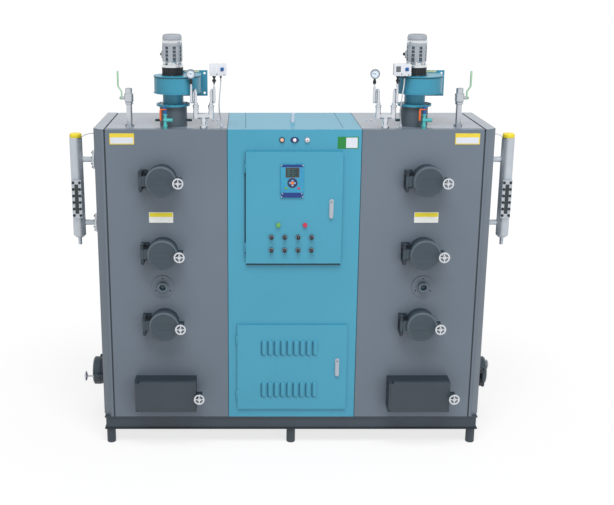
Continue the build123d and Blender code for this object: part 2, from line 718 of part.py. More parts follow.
def door_tray(width, height, thick, z):
    """Folded sheet door: a front sheet with a turned rim, open at the back."""
    at = face_plane(0, FRONT_Y - CABINET_DOOR_GAP, z)
    block(at, (-width / 2, -height / 2, 0), (width / 2, height / 2, thick - CABINET_DOOR_GAP))
    inner_width = width / 2 - TRAY_RIM
    inner_height = height / 2 - TRAY_RIM
    depth = thick - CABINET_DOOR_GAP - TRAY_WALL
    block(at, (-inner_width, -inner_height, 0), (inner_width, inner_height, depth), mode=Mode.SUBTRACT)


# Upper cabinet door that carries the controls
with BuildPart() as panel_door:
    door_tray(PANEL_DOOR_WIDTH, PANEL_DOOR_HEIGHT, PANEL_DOOR_THICK, PANEL_DOOR_Z)
    moving_barrels(PANEL_DOOR_WIDTH, PANEL_DOOR_HEIGHT, PANEL_DOOR_THICK, PANEL_DOOR_Z)
save(panel_door, "panel_door")

# Lower cabinet door with two rows of pressed louvres
with BuildPart() as louvre_door:
    door_tray(LOUVRE_DOOR_WIDTH, LOUVRE_DOOR_HEIGHT, LOUVRE_DOOR_THICK, LOUVRE_DOOR_Z)
    moving_barrels(LOUVRE_DOOR_WIDTH, LOUVRE_DOOR_HEIGHT, LOUVRE_DOOR_THICK, LOUVRE_DOOR_Z)
    first_louvre = LOUVRE_CENTRE_X - (LOUVRE_COUNT - 1) * LOUVRE_PITCH / 2
    for row in LOUVRE_ROWS:
        for index in range(LOUVRE_COUNT):
            x = first_louvre + index * LOUVRE_PITCH
            at = face_plane(x, FRONT_Y - LOUVRE_DOOR_THICK, row)
            half = LOUVRE_LENGTH / 2
            foot = at.from_local_coords((0, -half, 0))
            with BuildSketch(Plane(origin=foot, x_dir=(1, 0, 0), z_dir=(0, 0, 1))):
                with BuildLine():
                    Polyline(
                        (-LOUVRE_WIDTH / 2, 0),
                        (LOUVRE_WIDTH / 2, 0),
                        (LOUVRE_WIDTH / 2, -LOUVRE_PROUD),
                        (LOUVRE_WIDTH / 2 - TRAY_WALL, -LOUVRE_PROUD),
                        close=True,
                    )
                make_face()
            extrude(amount=LOUVRE_LENGTH)
save(louvre_door, "louvre_door")


def door_handle(x, z, thick):
    """Upright bar handle with rounded ends, flat on a cabinet door."""
    with BuildSketch(face_plane(x, FRONT_Y - thick, z)) as outline:
        SlotOverall(HANDLE_LENGTH, HANDLE_WIDTH, rotation=90)
    extrude(outline.sketch, amount=HANDLE_THICK)


with BuildPart() as panel_door_handle:
    door_handle(PANEL_HANDLE_X, PANEL_HANDLE_Z, PANEL_DOOR_THICK)
    fillet(panel_door_handle.faces().sort_by(Axis.Y)[0].edges(), 4)
save(panel_door_handle, "panel_door_handle")

with BuildPart() as louvre_door_handle:
    door_handle(LOUVRE_HANDLE_X, LOUVRE_HANDLE_Z, LOUVRE_DOOR_THICK)
    fillet(louvre_door_handle.faces().sort_by(Axis.Y)[0].edges(), 4)
save(louvre_door_handle, "louvre_door_handle")

# Display of the controller
with BuildPart() as controller_display:
    with BuildSketch(face_plane(CONTROLS_X, FRONT_Y - PANEL_DOOR_THICK, DISPLAY_Z)):
        RectangleRounded(DISPLAY_WIDTH, DISPLAY_HEIGHT, 5)
    extrude(amount=DISPLAY_THICK)
save(controller_display, "controller_display")

# Push buttons and rotary selectors
with BuildPart() as panel_controls:
    for x in (-BUTTON_SPACING / 2, BUTTON_SPACING / 2):
        turn(
            face_plane(CONTROLS_X + x, FRONT_Y - PANEL_DOOR_THICK, BUTTON_Z),
            (0, 0),
            (BEZEL_DIA / 2, 0),
            (BEZEL_DIA / 2, BEZEL_THICK),
            (KNOB_DIA / 2, BEZEL_THICK),
            (KNOB_DIA / 2, KNOB_LENGTH),
            (0, KNOB_LENGTH),
        )
    for row in SELECTOR_ROWS:
        for index in range(SELECTOR_COLUMNS):
            x = CONTROLS_X + (index - (SELECTOR_COLUMNS - 1) / 2) * SELECTOR_SPACING
            at = face_plane(x, FRONT_Y - PANEL_DOOR_THICK, row)
            with BuildSketch(at):
                Circle(BEZEL_DIA / 2)
            extrude(amount=BEZEL_THICK)
            with BuildSketch(at.offset(BEZEL_THICK)):
                Circle(KNOB_DIA / 2)
            extrude(amount=KNOB_LENGTH - BEZEL_THICK)
save(panel_controls, "panel_controls")

# Pilot lamps on the cabinet above the panel door
with BuildPart() as pilot_lamps:
    for index in (-1, 0, 1):
        turn(
            face_plane(index * LAMP_SPACING, FRONT_Y, LAMP_Z),
            (0, 0),
            (BEZEL_DIA / 2, 0),
            (BEZEL_DIA / 2, BEZEL_THICK),
            (KNOB_DIA / 2, KNOB_LENGTH),
            (0, KNOB_LENGTH),
        )
save(pilot_lamps, "pilot_lamps")

# Vent stub on the cabinet roof, and the deck glands that take the switch cables
with BuildPart() as deck_fittings:
    rod((0, VENT_Y, DECK_Z), (0, VENT_Y, DECK_Z + VENT_HEIGHT), VENT_DIA)
    chamfer(deck_fittings.faces().sort_by(Axis.Z)[-1].edges(), VENT_CHAMFER)
    for side in SIDES.values():
        x = side * MANIFOLD_X + SWITCH_ROUTE[-1][0]
        y = SWITCH_ROUTE[-1][1]
        rod((x, y, DECK_Z), (x, y, DECK_Z + DECK_GLAND_HEIGHT), DECK_GLAND_DIA)
save(deck_fittings, "deck_fittings")

# Water level columns, carried by two flanged branches each
GAUGE_FRAME_Y = COLUMN_Y - GAUGE_FRAME_FRONT
with BuildPart() as level_columns:
    for side in SIDES.values():
        turn(
            Plane(origin=(side * COLUMN_X, COLUMN_Y, 0)),
            (0, COLUMN_BOTTOM - DRAIN_LENGTH),
            (DRAIN_DIA / 2, COLUMN_BOTTOM - DRAIN_LENGTH),
            (DRAIN_DIA / 2, COLUMN_BOTTOM),
            (COLUMN_DIA / 2 - COLUMN_TAPER, COLUMN_BOTTOM),
            (COLUMN_DIA / 2, COLUMN_BOTTOM + COLUMN_TAPER),
            (COLUMN_DIA / 2, COLUMN_TOP),
            (0, COLUMN_TOP),
        )
        for height in BRANCH_HEIGHTS:
            wall = (side * SIDE_X, COLUMN_Y, height)
            rod(wall, (side * COLUMN_X, COLUMN_Y, height), BRANCH_DIA)
            flange = (side * (SIDE_X + BRANCH_FLANGE_THICK), COLUMN_Y, height)
            rod(wall, flange, BRANCH_FLANGE_DIA)
        at = face_plane(side * COLUMN_X, GAUGE_FRAME_Y, GAUGE_FRAME_Z)
        wide = GAUGE_FRAME_WIDTH / 2
        high = GAUGE_FRAME_HEIGHT / 2
        block(at, (-wide, -high, -GAUGE_FRAME_THICK), (wide, high, 0))
        wide = GAUGE_GLASS_WIDTH / 2
        high = GAUGE_GLASS_HEIGHT / 2
        block(at, (-wide, -high, -GAUGE_GLASS_DEPTH), (wide, high, 0), mode=Mode.SUBTRACT)
save(level_columns, "level_columns")

# Gauge glasses let into the level columns
with BuildPart() as level_glasses:
    for side in SIDES.values():
        at = face_plane(side * COLUMN_X, GAUGE_FRAME_Y, GAUGE_FRAME_Z)
        wide = GAUGE_GLASS_WIDTH / 2
        high = GAUGE_GLASS_HEIGHT / 2
        block(at, (-wide, -high, -GAUGE_GLASS_DEPTH), (wide, high, -1))
save(level_glasses, "level_glasses")

# Probe caps on the level columns, each with the gland of its lead
PROBE_ROUTE = (
    (COLUMN_X - CAP_DIA / 2 - 8, COLUMN_Y, COLUMN_TOP + 17),
    (COLUMN_X - CAP_DIA / 2 - 34, COLUMN_Y, COLUMN_TOP + 29),
    (COLUMN_X - CAP_DIA / 2 - 76, COLUMN_Y, COLUMN_TOP + 32),
    (SIDE_X, COLUMN_Y, COLUMN_TOP + 32),
)
with BuildPart() as level_caps:
    for side in SIDES.values():
        turn(
            Plane(origin=(side * COLUMN_X, COLUMN_Y, COLUMN_TOP)),
            (0, 0),
            (CAP_DIA / 2, 0),
            (CAP_DIA / 2, CAP_HEIGHT - 5),
            (CAP_DIA / 2 - 5, CAP_HEIGHT),
            (0, CAP_HEIGHT),
        )
        gland_end = Vector(side * PROBE_ROUTE[0][0], COLUMN_Y, PROBE_ROUTE[0][2])
        lead_turn = Vector(side * PROBE_ROUTE[1][0], COLUMN_Y, PROBE_ROUTE[1][2])
        gland_line = (gland_end - lead_turn).normalized()
        rod(gland_end + gland_line * 20, gland_end, PROBE_GLAND_DIA)
save(level_caps, "level_caps")


def lead(points, diameter):
    """A round lead along a route of points, with its corners rounded as wide as they allow."""
    radii = tube_radii(points)
    with BuildLine() as path:
        FilletPolyline(*points, radius=radii)
    first = Vector(*points[1]) - Vector(*points[0])
    with BuildSketch(Plane(origin=points[0], z_dir=first)) as section:
        Circle(diameter / 2)
    sweep(section.sketch, path=path.line)


# Probe leads from the caps into the side covers
for name, side in SIDES.items():
    with BuildPart() as probe_lead:
        lead([(side * x, y, z) for x, y, z in PROBE_ROUTE], PROBE_LEAD_DIA)
    save(probe_lead, f"probe_lead_{name}")

# Blower stands: air inlet pipes on the deck, with two pegs each
with BuildPart() as blower_stands:
    for side in SIDES.values():
        centre = (side * BLOWER_X, BLOWER_Y)
        with BuildSketch(Plane.XY.offset(DECK_Z)):
            with Locations(centre):
                Circle(STAND_DIA / 2)
        extrude(amount=STAND_HEIGHT)
        height = DECK_Z + STAND_PEG_Z
        start = (centre[0] - STAND_PEG_REACH, BLOWER_Y, height)
        rod(start, (centre[0] + STAND_PEG_REACH, BLOWER_Y, height), STAND_PEG_DIA)
save(blower_stands, "blower_stands")

# Blower casings: spiral housing, inlet pipe with its flange, and outlet flange at the back
STAND_TOP = DECK_Z + STAND_HEIGHT
FAN_TOP = FAN_BOTTOM + FAN_HEIGHT
OUTLET_OUTER_X = FAN_RADIUS + 3 * FAN_STEP
OUTLET_MID_X = (OUTLET_INNER_X + OUTLET_OUTER_X) / 2


def spiral(at, rim):
    """Plan outline of the spiral, three quarter arcs that widen towards the outlet."""
    radii = [FAN_RADIUS + step * FAN_STEP for step in (0, 1, 2)]
    centres = [(0, 0), (FAN_STEP, 0), (FAN_STEP, FAN_STEP)]
    with BuildSketch(at) as outline:
        with BuildLine():
            for radius, centre, start in zip(radii, centres, (90, 180, 270)):
                CenterArc(centre, radius, start, 90)
            Polyline(
                (OUTLET_OUTER_X, FAN_STEP),
                (OUTLET_OUTER_X, OUTLET_LENGTH),
                (OUTLET_INNER_X, OUTLET_LENGTH),
                (OUTLET_INNER_X, FAN_RADIUS),
                (0, FAN_RADIUS),
            )
        make_face()
        if rim:
            offset(amount=rim)
    return outline.sketch


for name, side in SIDES.items():
    with BuildPart() as fan_housing:
        at = Plane(origin=(side * BLOWER_X, BLOWER_Y, FAN_BOTTOM))
        extrude(spiral(at, 0), amount=FAN_HEIGHT)
        extrude(spiral(at, FAN_RIM), amount=FAN_PLATE)
        extrude(spiral(at.offset(FAN_HEIGHT - FAN_PLATE), FAN_RIM), amount=FAN_PLATE)
        turn(
            Plane(origin=(side * BLOWER_X, BLOWER_Y, 0)),
            (0, STAND_TOP),
            (INLET_FLANGE_DIA / 2, STAND_TOP),
            (INLET_FLANGE_DIA / 2, STAND_TOP + INLET_FLANGE_THICK),
            (INLET_DIA / 2, STAND_TOP + INLET_FLANGE_THICK),
            (INLET_DIA / 2, FAN_BOTTOM),
            (0, FAN_BOTTOM),
        )
        outlet_z = FAN_BOTTOM + FAN_HEIGHT / 2
        outlet = Plane(
            origin=(side * BLOWER_X + OUTLET_MID_X, BLOWER_Y + OUTLET_LENGTH, outlet_z),
            x_dir=(-1, 0, 0),
            z_dir=(0, 1, 0),
        )
        flange_x = OUTLET_FLANGE_WIDTH / 2
        flange_z = OUTLET_FLANGE_HEIGHT / 2
        flange = outlet.offset(0)
        flange.origin = outlet.from_local_coords((0, -OUTLET_FLANGE_DROP, 0))
        block(flange, (-flange_x, -flange_z, 0), (flange_x, flange_z, OUTLET_FLANGE_THICK))
        with BuildSketch(flange) as holes:
            with GridLocations(
                OUTLET_FLANGE_WIDTH - 2 * OUTLET_HOLE_INSET,
                OUTLET_FLANGE_HEIGHT - 2 * OUTLET_HOLE_INSET,
                2,
                2,
            ):
                Circle(OUTLET_HOLE_DIA / 2)
        extrude(holes.sketch, amount=OUTLET_FLANGE_THICK, mode=Mode.SUBTRACT)
        duct_x = (OUTLET_OUTER_X - OUTLET_INNER_X) / 2 - OUTLET_WALL
        duct_z = FAN_HEIGHT / 2 - FAN_PLATE
        low = (-duct_x, -duct_z, -OUTLET_POCKET_DEPTH)
        block(outlet, low, (duct_x, duct_z, OUTLET_FLANGE_THICK), mode=Mode.SUBTRACT)
    save(fan_housing, f"fan_housing_{name}")

# Ribbed couplings between the blower casings and their motors
COUPLING_TOP = FAN_TOP + COUPLING_HEIGHT
with BuildPart() as fan_couplings:
    for side in SIDES.values():
        centre = (side * BLOWER_X, BLOWER_Y)
        with BuildSketch(Plane.XY.offset(FAN_TOP)):
            with Locations(centre):
                Circle(COUPLING_DIA / 2)
            with Locations(centre):
                with PolarLocations(COUPLING_DIA / 2, COUPLING_RIBS):
                    Rectangle(COUPLING_RIB_DEPTH, COUPLING_RIB_GAP, mode=Mode.SUBTRACT)
        extrude(amount=COUPLING_HEIGHT)
save(fan_couplings, "fan_couplings")

# Fan motors: flange, waist, finned body, domed cowl, terminal box and cable gland
WAIST_Z = MOTOR_FOOT_HEIGHT + MOTOR_WAIST_HEIGHT
COWL_Z = WAIST_Z + MOTOR_BODY_HEIGHT
FIN_DEPTH = (MOTOR_FIN_DIA - MOTOR_BODY_DIA) / 2 + 1
with BuildPart() as fan_motors:
    for side in SIDES.values():
        at = Plane(origin=(side * BLOWER_X, BLOWER_Y, COUPLING_TOP))
        cowl_top = COWL_Z + MOTOR_COWL_HEIGHT
        turn(
            at,
            (0, 0),
            (MOTOR_FOOT_DIA / 2, 0),
            (MOTOR_FOOT_DIA / 2, MOTOR_FOOT_HEIGHT),
            (MOTOR_WAIST_DIA / 2, MOTOR_FOOT_HEIGHT),
            (MOTOR_WAIST_DIA / 2, WAIST_Z),
            (MOTOR_BODY_DIA / 2, WAIST_Z),
            (MOTOR_BODY_DIA / 2, COWL_Z),
            (MOTOR_FIN_DIA / 2, COWL_Z),
            (MOTOR_FIN_DIA / 2, cowl_top - MOTOR_COWL_ROUND),
            (MOTOR_FIN_DIA / 2 - MOTOR_COWL_ROUND / 3, cowl_top - MOTOR_COWL_ROUND / 3),
            (MOTOR_FIN_DIA / 2 - MOTOR_COWL_ROUND, cowl_top),
            (0, cowl_top),
        )
        with BuildSketch(at.offset(WAIST_Z)) as fins:
            with PolarLocations(MOTOR_FIN_DIA / 2 - FIN_DEPTH / 2, MOTOR_FIN_COUNT):
                Rectangle(FIN_DEPTH, MOTOR_FIN_THICK)
        extrude(fins.sketch, amount=MOTOR_BODY_HEIGHT)
        box_z = COUPLING_TOP + WAIST_Z + MOTOR_BODY_HEIGHT / 2
        outward = (cos(radians(TERMINAL_ANGLE)), sin(radians(TERMINAL_ANGLE)), 0)
        terminal = Plane(
            origin=(side * BLOWER_X, BLOWER_Y, box_z),
            x_dir=(0, 0, 1),
            z_dir=outward,
        )
        half = TERMINAL_WIDTH / 2
        block(terminal, (-half, -half, 0), (half, half, TERMINAL_REACH))
        rod(terminal.origin, terminal.from_local_coords((0, 0, GLAND_REACH)), GLAND_DIA)
save(fan_motors, "fan_motors")

# Drain valves on the deck: pipe, side outlet, gland and stem
with BuildPart() as drain_valves:
    for side in SIDES.values():
        x = side * DRAIN_X
        rod((x, DRAIN_Y, DECK_Z), (x, DRAIN_Y, DRAIN_TOP), DRAIN_PIPE_DIA)
        branch_end = (x + DRAIN_BRANCH_REACH, DRAIN_Y, DRAIN_BRANCH_Z)
        rod((x, DRAIN_Y, DRAIN_BRANCH_Z), branch_end, DRAIN_PIPE_DIA)
        rod((x, DRAIN_Y, DRAIN_TOP), (x, DRAIN_Y, DRAIN_GLAND_TOP), DRAIN_GLAND_DIA)
        rod((x, DRAIN_Y, DRAIN_GLAND_TOP), (x, DRAIN_Y, DRAIN_STEM_TOP), DRAIN_STEM_DIA)
        stop = DRAIN_LEVER_Z + DRAIN_LEVER_THICK + KNUCKLE_GAP
        rod((x, DRAIN_Y, stop), (x, DRAIN_Y, DRAIN_STEM_TOP), DRAIN_GLAND_DIA)
save(drain_valves, "drain_valves")

# Bent levers of the drain valves, turning about the upright stems
for name, side in SIDES.items():
    x = side * DRAIN_X
    at = Plane(origin=(x, DRAIN_Y, DRAIN_LEVER_Z))
    half = DRAIN_LEVER_WIDTH / 2
    with BuildPart() as drain_lever:
        block(at, (-DRAIN_LEVER_REACH, -half, 0), (half, half, DRAIN_LEVER_THICK))
        low = (-DRAIN_LEVER_REACH, -half, -DRAIN_LEVER_DROP)
        block(at, low, (-DRAIN_LEVER_REACH + DRAIN_LEVER_THICK, half, DRAIN_LEVER_THICK))
        top_edges = drain_lever.edges().filter_by(Axis.Y).sort_by(Axis.Z)[-2:]
        fillet(top_edges.sort_by(Axis.X)[0], DRAIN_LEVER_BEND)
        start = (x, DRAIN_Y, DRAIN_LEVER_Z)
        end = (x, DRAIN_Y, DRAIN_LEVER_Z + DRAIN_LEVER_THICK)
        rod(start, end, DRAIN_STEM_DIA + 2 * PIN_CLEARANCE, mode=Mode.SUBTRACT)
    save(drain_lever, f"drain_lever_{name}")

# Steam valves on the deck: pipe, valve body, outlet end and side stem
with BuildPart() as steam_valves:
    for side in SIDES.values():
        x = side * STEAM_X
        turn(
            Plane(origin=(x, STEAM_Y, 0)),
            (0, DECK_Z),
            (STEAM_PIPE_DIA / 2, DECK_Z),
            (STEAM_PIPE_DIA / 2, STEAM_BODY_BOTTOM - STEAM_NECK),
            (STEAM_END_DIA / 2, STEAM_BODY_BOTTOM - STEAM_NECK),
            (STEAM_END_DIA / 2, STEAM_BODY_BOTTOM),
            (STEAM_BODY_DIA / 2, STEAM_BODY_BOTTOM + 2 * STEAM_BODY_BEVEL),
            (STEAM_BODY_DIA / 2, STEAM_BODY_TOP - STEAM_BODY_BEVEL),
            (STEAM_BODY_DIA / 2 - STEAM_BODY_BEVEL, STEAM_BODY_TOP),
            (STEAM_END_DIA / 2, STEAM_BODY_TOP),
            (STEAM_END_DIA / 2, STEAM_END_TOP),
            (STEAM_BORE / 2, STEAM_END_TOP),
            (STEAM_BORE / 2, STEAM_END_TOP - STEAM_BORE_DEPTH),
            (0, STEAM_END_TOP - STEAM_BORE_DEPTH),
        )
        stem_end = (x + side * STEAM_STEM_REACH, STEAM_Y, STEAM_STEM_Z)
        rod((x, STEAM_Y, STEAM_STEM_Z), stem_end, STEAM_STEM_DIA)
        collar_reach = STEAM_LEVER_X - STEAM_LEVER_THICK / 2 - KNUCKLE_GAP
        collar_end = (x + side * collar_reach, STEAM_Y, STEAM_STEM_Z)
        rod((x, STEAM_Y, STEAM_STEM_Z), collar_end, STEAM_COLLAR_DIA)
save(steam_valves, "steam_valves")

# Cranked levers of the steam valves, turning about the side stems
for name, side in SIDES.items():
    x = side * (STEAM_X + STEAM_LEVER_X)
    half = STEAM_LEVER_THICK / 2
    crank = side * STEAM_LEVER_CRANK
    with BuildPart() as steam_lever:
        with BuildSketch(face_plane(x, STEAM_Y + STEAM_LEVER_WIDTH / 2, STEAM_STEM_Z)) as outline:
            with BuildLine():
                Polyline(
                    (-half, -STEAM_LEVER_WIDTH / 2),
                    (half, -STEAM_LEVER_WIDTH / 2),
                    (half, STEAM_CRANK_START),
                    (half + crank, STEAM_CRANK_END),
                    (half + crank, STEAM_LEVER_LENGTH),
                    (-half + crank, STEAM_LEVER_LENGTH),
                    (-half + crank, STEAM_CRANK_END),
                    (-half, STEAM_CRANK_START),
                    close=True,
                )
            make_face()
        extrude(outline.sketch, amount=STEAM_LEVER_WIDTH)
        start = (x - 2 * half, STEAM_Y, STEAM_STEM_Z)
        end = (x + 2 * half, STEAM_Y, STEAM_STEM_Z)
        rod(start, end, STEAM_STEM_DIA + 2 * PIN_CLEARANCE, mode=Mode.SUBTRACT)
    save(steam_lever, f"steam_lever_{name}")

# Steam manifolds: riser, tee, two arms, and a siphon loop under each instrument
with BuildPart() as steam_manifolds:
    for side in SIDES.values():
        x = side * MANIFOLD_X
        y = MANIFOLD_Y
        rod((x, y, DECK_Z), (x, y, MANIFOLD_TEE_Z), MANIFOLD_RISER_DIA)
        rod((x, y, DECK_Z), (x, y, DECK_Z + MANIFOLD_SOCKET_HEIGHT), MANIFOLD_SOCKET_DIA)
        start = (x - MANIFOLD_ARM, y, MANIFOLD_TEE_Z)
        rod(start, (x + MANIFOLD_ARM, y, MANIFOLD_TEE_Z), MANIFOLD_ARM_DIA)
        for arm, stem in ((-MANIFOLD_ARM, GAUGE_X), (MANIFOLD_ARM, SWITCH_STEM_X)):
            arm_x = x + arm
            arm_low = MANIFOLD_TEE_Z - MANIFOLD_PIPE_DIA / 2
            rod((arm_x, y, arm_low), (arm_x, y, MANIFOLD_ARM_TOP), MANIFOLD_PIPE_DIA)
            rod((arm_x, y, MANIFOLD_ARM_TOP), (arm_x, y, SIPHON_NUT_TOP), SIPHON_NUT_DIA)
            stem_x = x + stem
            middle = (stem_x + arm_x) / 2
            with BuildLine() as siphon:
                FilletPolyline(
                    (arm_x, y, SIPHON_NUT_TOP),
                    (arm_x, y, SIPHON_LOOP_TOP),
                    (middle, y + SIPHON_BACK, SIPHON_LOOP_TOP),
                    (middle, y + SIPHON_BACK, SIPHON_LOOP_LOW),
                    (stem_x, y, SIPHON_LOOP_LOW),
                    (stem_x, y, SIPHON_TOP),
                    radius=SIPHON_BEND,
                )
            with BuildSketch(Plane.XY.offset(SIPHON_NUT_TOP)) as section:
                with Locations((arm_x, y)):
                    Circle(SIPHON_PIPE_DIA / 2)
            sweep(section.sketch, path=siphon.line)
save(steam_manifolds, "steam_manifolds")

# Pressure gauges on the left siphons
with BuildPart() as pressure_gauges:
    for side in SIDES.values():
        x = side * MANIFOLD_X + GAUGE_X
        turn(
            face_plane(x, MANIFOLD_Y - GAUGE_FORWARD, GAUGE_Z),
            (0, -GAUGE_DEPTH / 2),
            (GAUGE_DIA / 2 - GAUGE_BEZEL, -GAUGE_DEPTH / 2),
            (GAUGE_DIA / 2, -GAUGE_DEPTH / 2 + GAUGE_BEZEL),
            (GAUGE_DIA / 2, GAUGE_DEPTH / 2),
            (GAUGE_DIA / 2 - GAUGE_BEZEL, GAUGE_DEPTH / 2),
            (GAUGE_DIA / 2 - GAUGE_BEZEL, GAUGE_DEPTH / 2 - GAUGE_BEZEL),
            (0, GAUGE_DEPTH / 2 - GAUGE_BEZEL),
        )
        stem_top = GAUGE_Z - GAUGE_DIA / 4
        rod((x, MANIFOLD_Y, SIPHON_TOP), (x, MANIFOLD_Y, stem_top), SIPHON_PIPE_DIA)
        nut_top = SIPHON_TOP + GAUGE_NUT_HEIGHT
        rod((x, MANIFOLD_Y, SIPHON_TOP), (x, MANIFOLD_Y, nut_top), SIPHON_NUT_DIA)
save(pressure_gauges, "pressure_gauges")

# Pressure switches on the right siphons, each with a cable gland underneath
with BuildPart() as pressure_switches:
    for side in SIDES.values():
        x = side * MANIFOLD_X + SWITCH_X
        at = face_plane(x, MANIFOLD_Y, SWITCH_BOTTOM)
        low = (-SWITCH_WIDTH / 2, 0, -SWITCH_DEPTH / 2)
        block(at, low, (SWITCH_WIDTH / 2, SWITCH_HEIGHT, SWITCH_DEPTH / 2))
        stem = side * MANIFOLD_X + SWITCH_STEM_X
        rod((stem, MANIFOLD_Y, SIPHON_TOP), (stem, MANIFOLD_Y, SWITCH_BOTTOM), SIPHON_NUT_DIA)
        gland = side * MANIFOLD_X + SWITCH_ROUTE[0][0]
        start = (gland, MANIFOLD_Y, SWITCH_BOTTOM)
        rod(start, (gland, MANIFOLD_Y, SWITCH_BOTTOM - DECK_GLAND_HEIGHT), DECK_GLAND_DIA)
save(pressure_switches, "pressure_switches")

# Switch cables, hanging from the switches to the deck
for name, side in SIDES.items():
    with BuildPart() as switch_cable:
        lead([(side * MANIFOLD_X + x, y, z) for x, y, z in SWITCH_ROUTE], SWITCH_CABLE_DIA)
    save(switch_cable, f"switch_cable_{name}")
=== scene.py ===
import json
from math import cos, pi, radians, sin

import bmesh
import bpy
from mathutils import Matrix, Vector


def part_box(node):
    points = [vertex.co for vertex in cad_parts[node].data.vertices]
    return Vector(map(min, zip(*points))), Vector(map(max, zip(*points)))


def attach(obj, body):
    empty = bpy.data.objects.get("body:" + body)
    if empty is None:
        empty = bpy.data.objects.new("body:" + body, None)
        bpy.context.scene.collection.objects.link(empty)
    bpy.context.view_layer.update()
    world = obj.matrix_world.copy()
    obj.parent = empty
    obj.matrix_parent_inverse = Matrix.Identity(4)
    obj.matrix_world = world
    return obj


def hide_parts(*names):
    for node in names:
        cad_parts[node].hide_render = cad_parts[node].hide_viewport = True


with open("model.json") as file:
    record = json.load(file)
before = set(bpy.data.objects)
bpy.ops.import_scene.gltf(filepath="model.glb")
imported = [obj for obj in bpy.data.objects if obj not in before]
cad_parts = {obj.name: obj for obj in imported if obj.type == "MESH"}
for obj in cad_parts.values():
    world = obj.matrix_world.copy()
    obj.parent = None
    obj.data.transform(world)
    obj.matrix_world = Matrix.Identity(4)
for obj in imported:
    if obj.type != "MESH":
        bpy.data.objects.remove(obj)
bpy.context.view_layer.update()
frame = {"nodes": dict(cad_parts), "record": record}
NODES = frame["nodes"]
MM = 0.001

# Sizes shared with the construction model, in millimetres
FRONT_Y, BACK_Y, DECK_Z = -40, 680, 2029
SIDE_X, UNIT_X = 1190, 790
DOOR_HEIGHTS = {"upper": 1733, "middle": 1285, "lower": 830}
SIDE_DOOR_Y, SIDE_DOOR_Z = 320, 361
ASH_Z = 371
SIDES = {"left": -1, "right": 1}
PANEL = "panel_door"
PANEL_FACE_Y, LOUVRE_FACE_Y, DISPLAY_FACE_Y = -65, -54, -73
CABINET_X = 399
MANIFOLD_X, MANIFOLD_Y = 539, 5
GAUGE_REACH, SWITCH_REACH = -72, 64
BLOWER_X, BLOWER_Y = 726, 125
DRAIN_X, DRAIN_Y = 766, -10
STEAM_X, STEAM_Y = 988, 90
COLUMN_X, COLUMN_Y = 1356, 320
PROBE_X, PROBE_Z = 1307, 1936

# The camera looks down on the front by this many degrees, fitted to the photograph
CAMERA_TILT = 15.6
# In metres: depth of the fine grain, bevel of the construction pieces' edges, and reach of their weld
GRAIN_DEPTH = 0.0004
EDGE_WIDTH = 0.0012
WELD_REACH = 0.00002


def linked(name, data):
    """An object of that data, linked to the scene."""
    made = bpy.data.objects.new(name, data)
    bpy.context.scene.collection.objects.link(made)
    return made


camera_data = bpy.data.cameras.new("camera")
camera_data.lens = 60.39
camera_data.shift_x = 0.0977
camera = linked("camera", camera_data)
camera.location = (-0.282, -6.090, 2.9646)
camera.rotation_euler = (radians(90 - CAMERA_TILT), 0, 0)
bpy.context.scene.camera = camera
bpy.context.scene.view_settings.view_transform = "Standard"


def srgb(red, green, blue):
    """A colour from 0 to 255 as the linear colour that a shader takes."""
    return tuple(
        (value / 255 / 12.92) if value <= 10 else ((value / 255 + 0.055) / 1.055) ** 2.4
        for value in (red, green, blue)
    ) + (1.0,)


def scaled(color, factor):
    return tuple(min(1.0, channel * factor) for channel in color[:3]) + (1.0,)


def add_node(tree, kind, values=None):
    """A shader node with values on its sockets."""
    node = tree.nodes.new(kind)
    for socket, value in (values or {}).items():
        node.inputs[socket].default_value = value
    return node


def material(name, color, rough, metal, spread, cloud, grain, bump,
             stretch=(1, 1, 1), rough_spread=0.08, other=None):
    """A surface with slow colour variation, and a fine grain in bump and roughness."""
    made = bpy.data.materials.new(name)
    made.use_nodes = True
    tree = made.node_tree
    join = tree.links.new
    shader = tree.nodes["Principled BSDF"]
    shader.inputs["Metallic"].default_value = metal
    place = add_node(tree, "ShaderNodeTexCoord")
    slow = add_node(tree, "ShaderNodeTexNoise", {"Scale": cloud, "Detail": 5})
    join(place.outputs["Object"], slow.inputs["Vector"])
    tint = add_node(tree, "ShaderNodeValToRGB")
    low, high = tint.color_ramp.elements
    low.position, high.position = 0.3, 0.7
    low.color = scaled(color, 1 - spread)
    high.color = scaled(other or color, 1 + spread)
    join(slow.outputs["Fac"], tint.inputs["Fac"])
    join(tint.outputs["Color"], shader.inputs["Base Color"])
    mapping = add_node(tree, "ShaderNodeMapping", {"Scale": stretch})
    join(place.outputs["Object"], mapping.inputs["Vector"])
    fine = add_node(tree, "ShaderNodeTexNoise", {"Scale": grain, "Detail": 3})
    join(mapping.outputs["Vector"], fine.inputs["Vector"])
    limits = {"To Min": max(0.02, rough - rough_spread), "To Max": min(1.0, rough + rough_spread)}
    spreader = add_node(tree, "ShaderNodeMapRange", limits)
    join(fine.outputs["Fac"], spreader.inputs["Value"])
    join(spreader.outputs["Result"], shader.inputs["Roughness"])
    if bump:
        raised = add_node(tree, "ShaderNodeBump", {"Strength": bump, "Distance": GRAIN_DEPTH})
        join(fine.outputs["Fac"], raised.inputs["Height"])
        join(raised.outputs["Normal"], shader.inputs["Normal"])
    return made


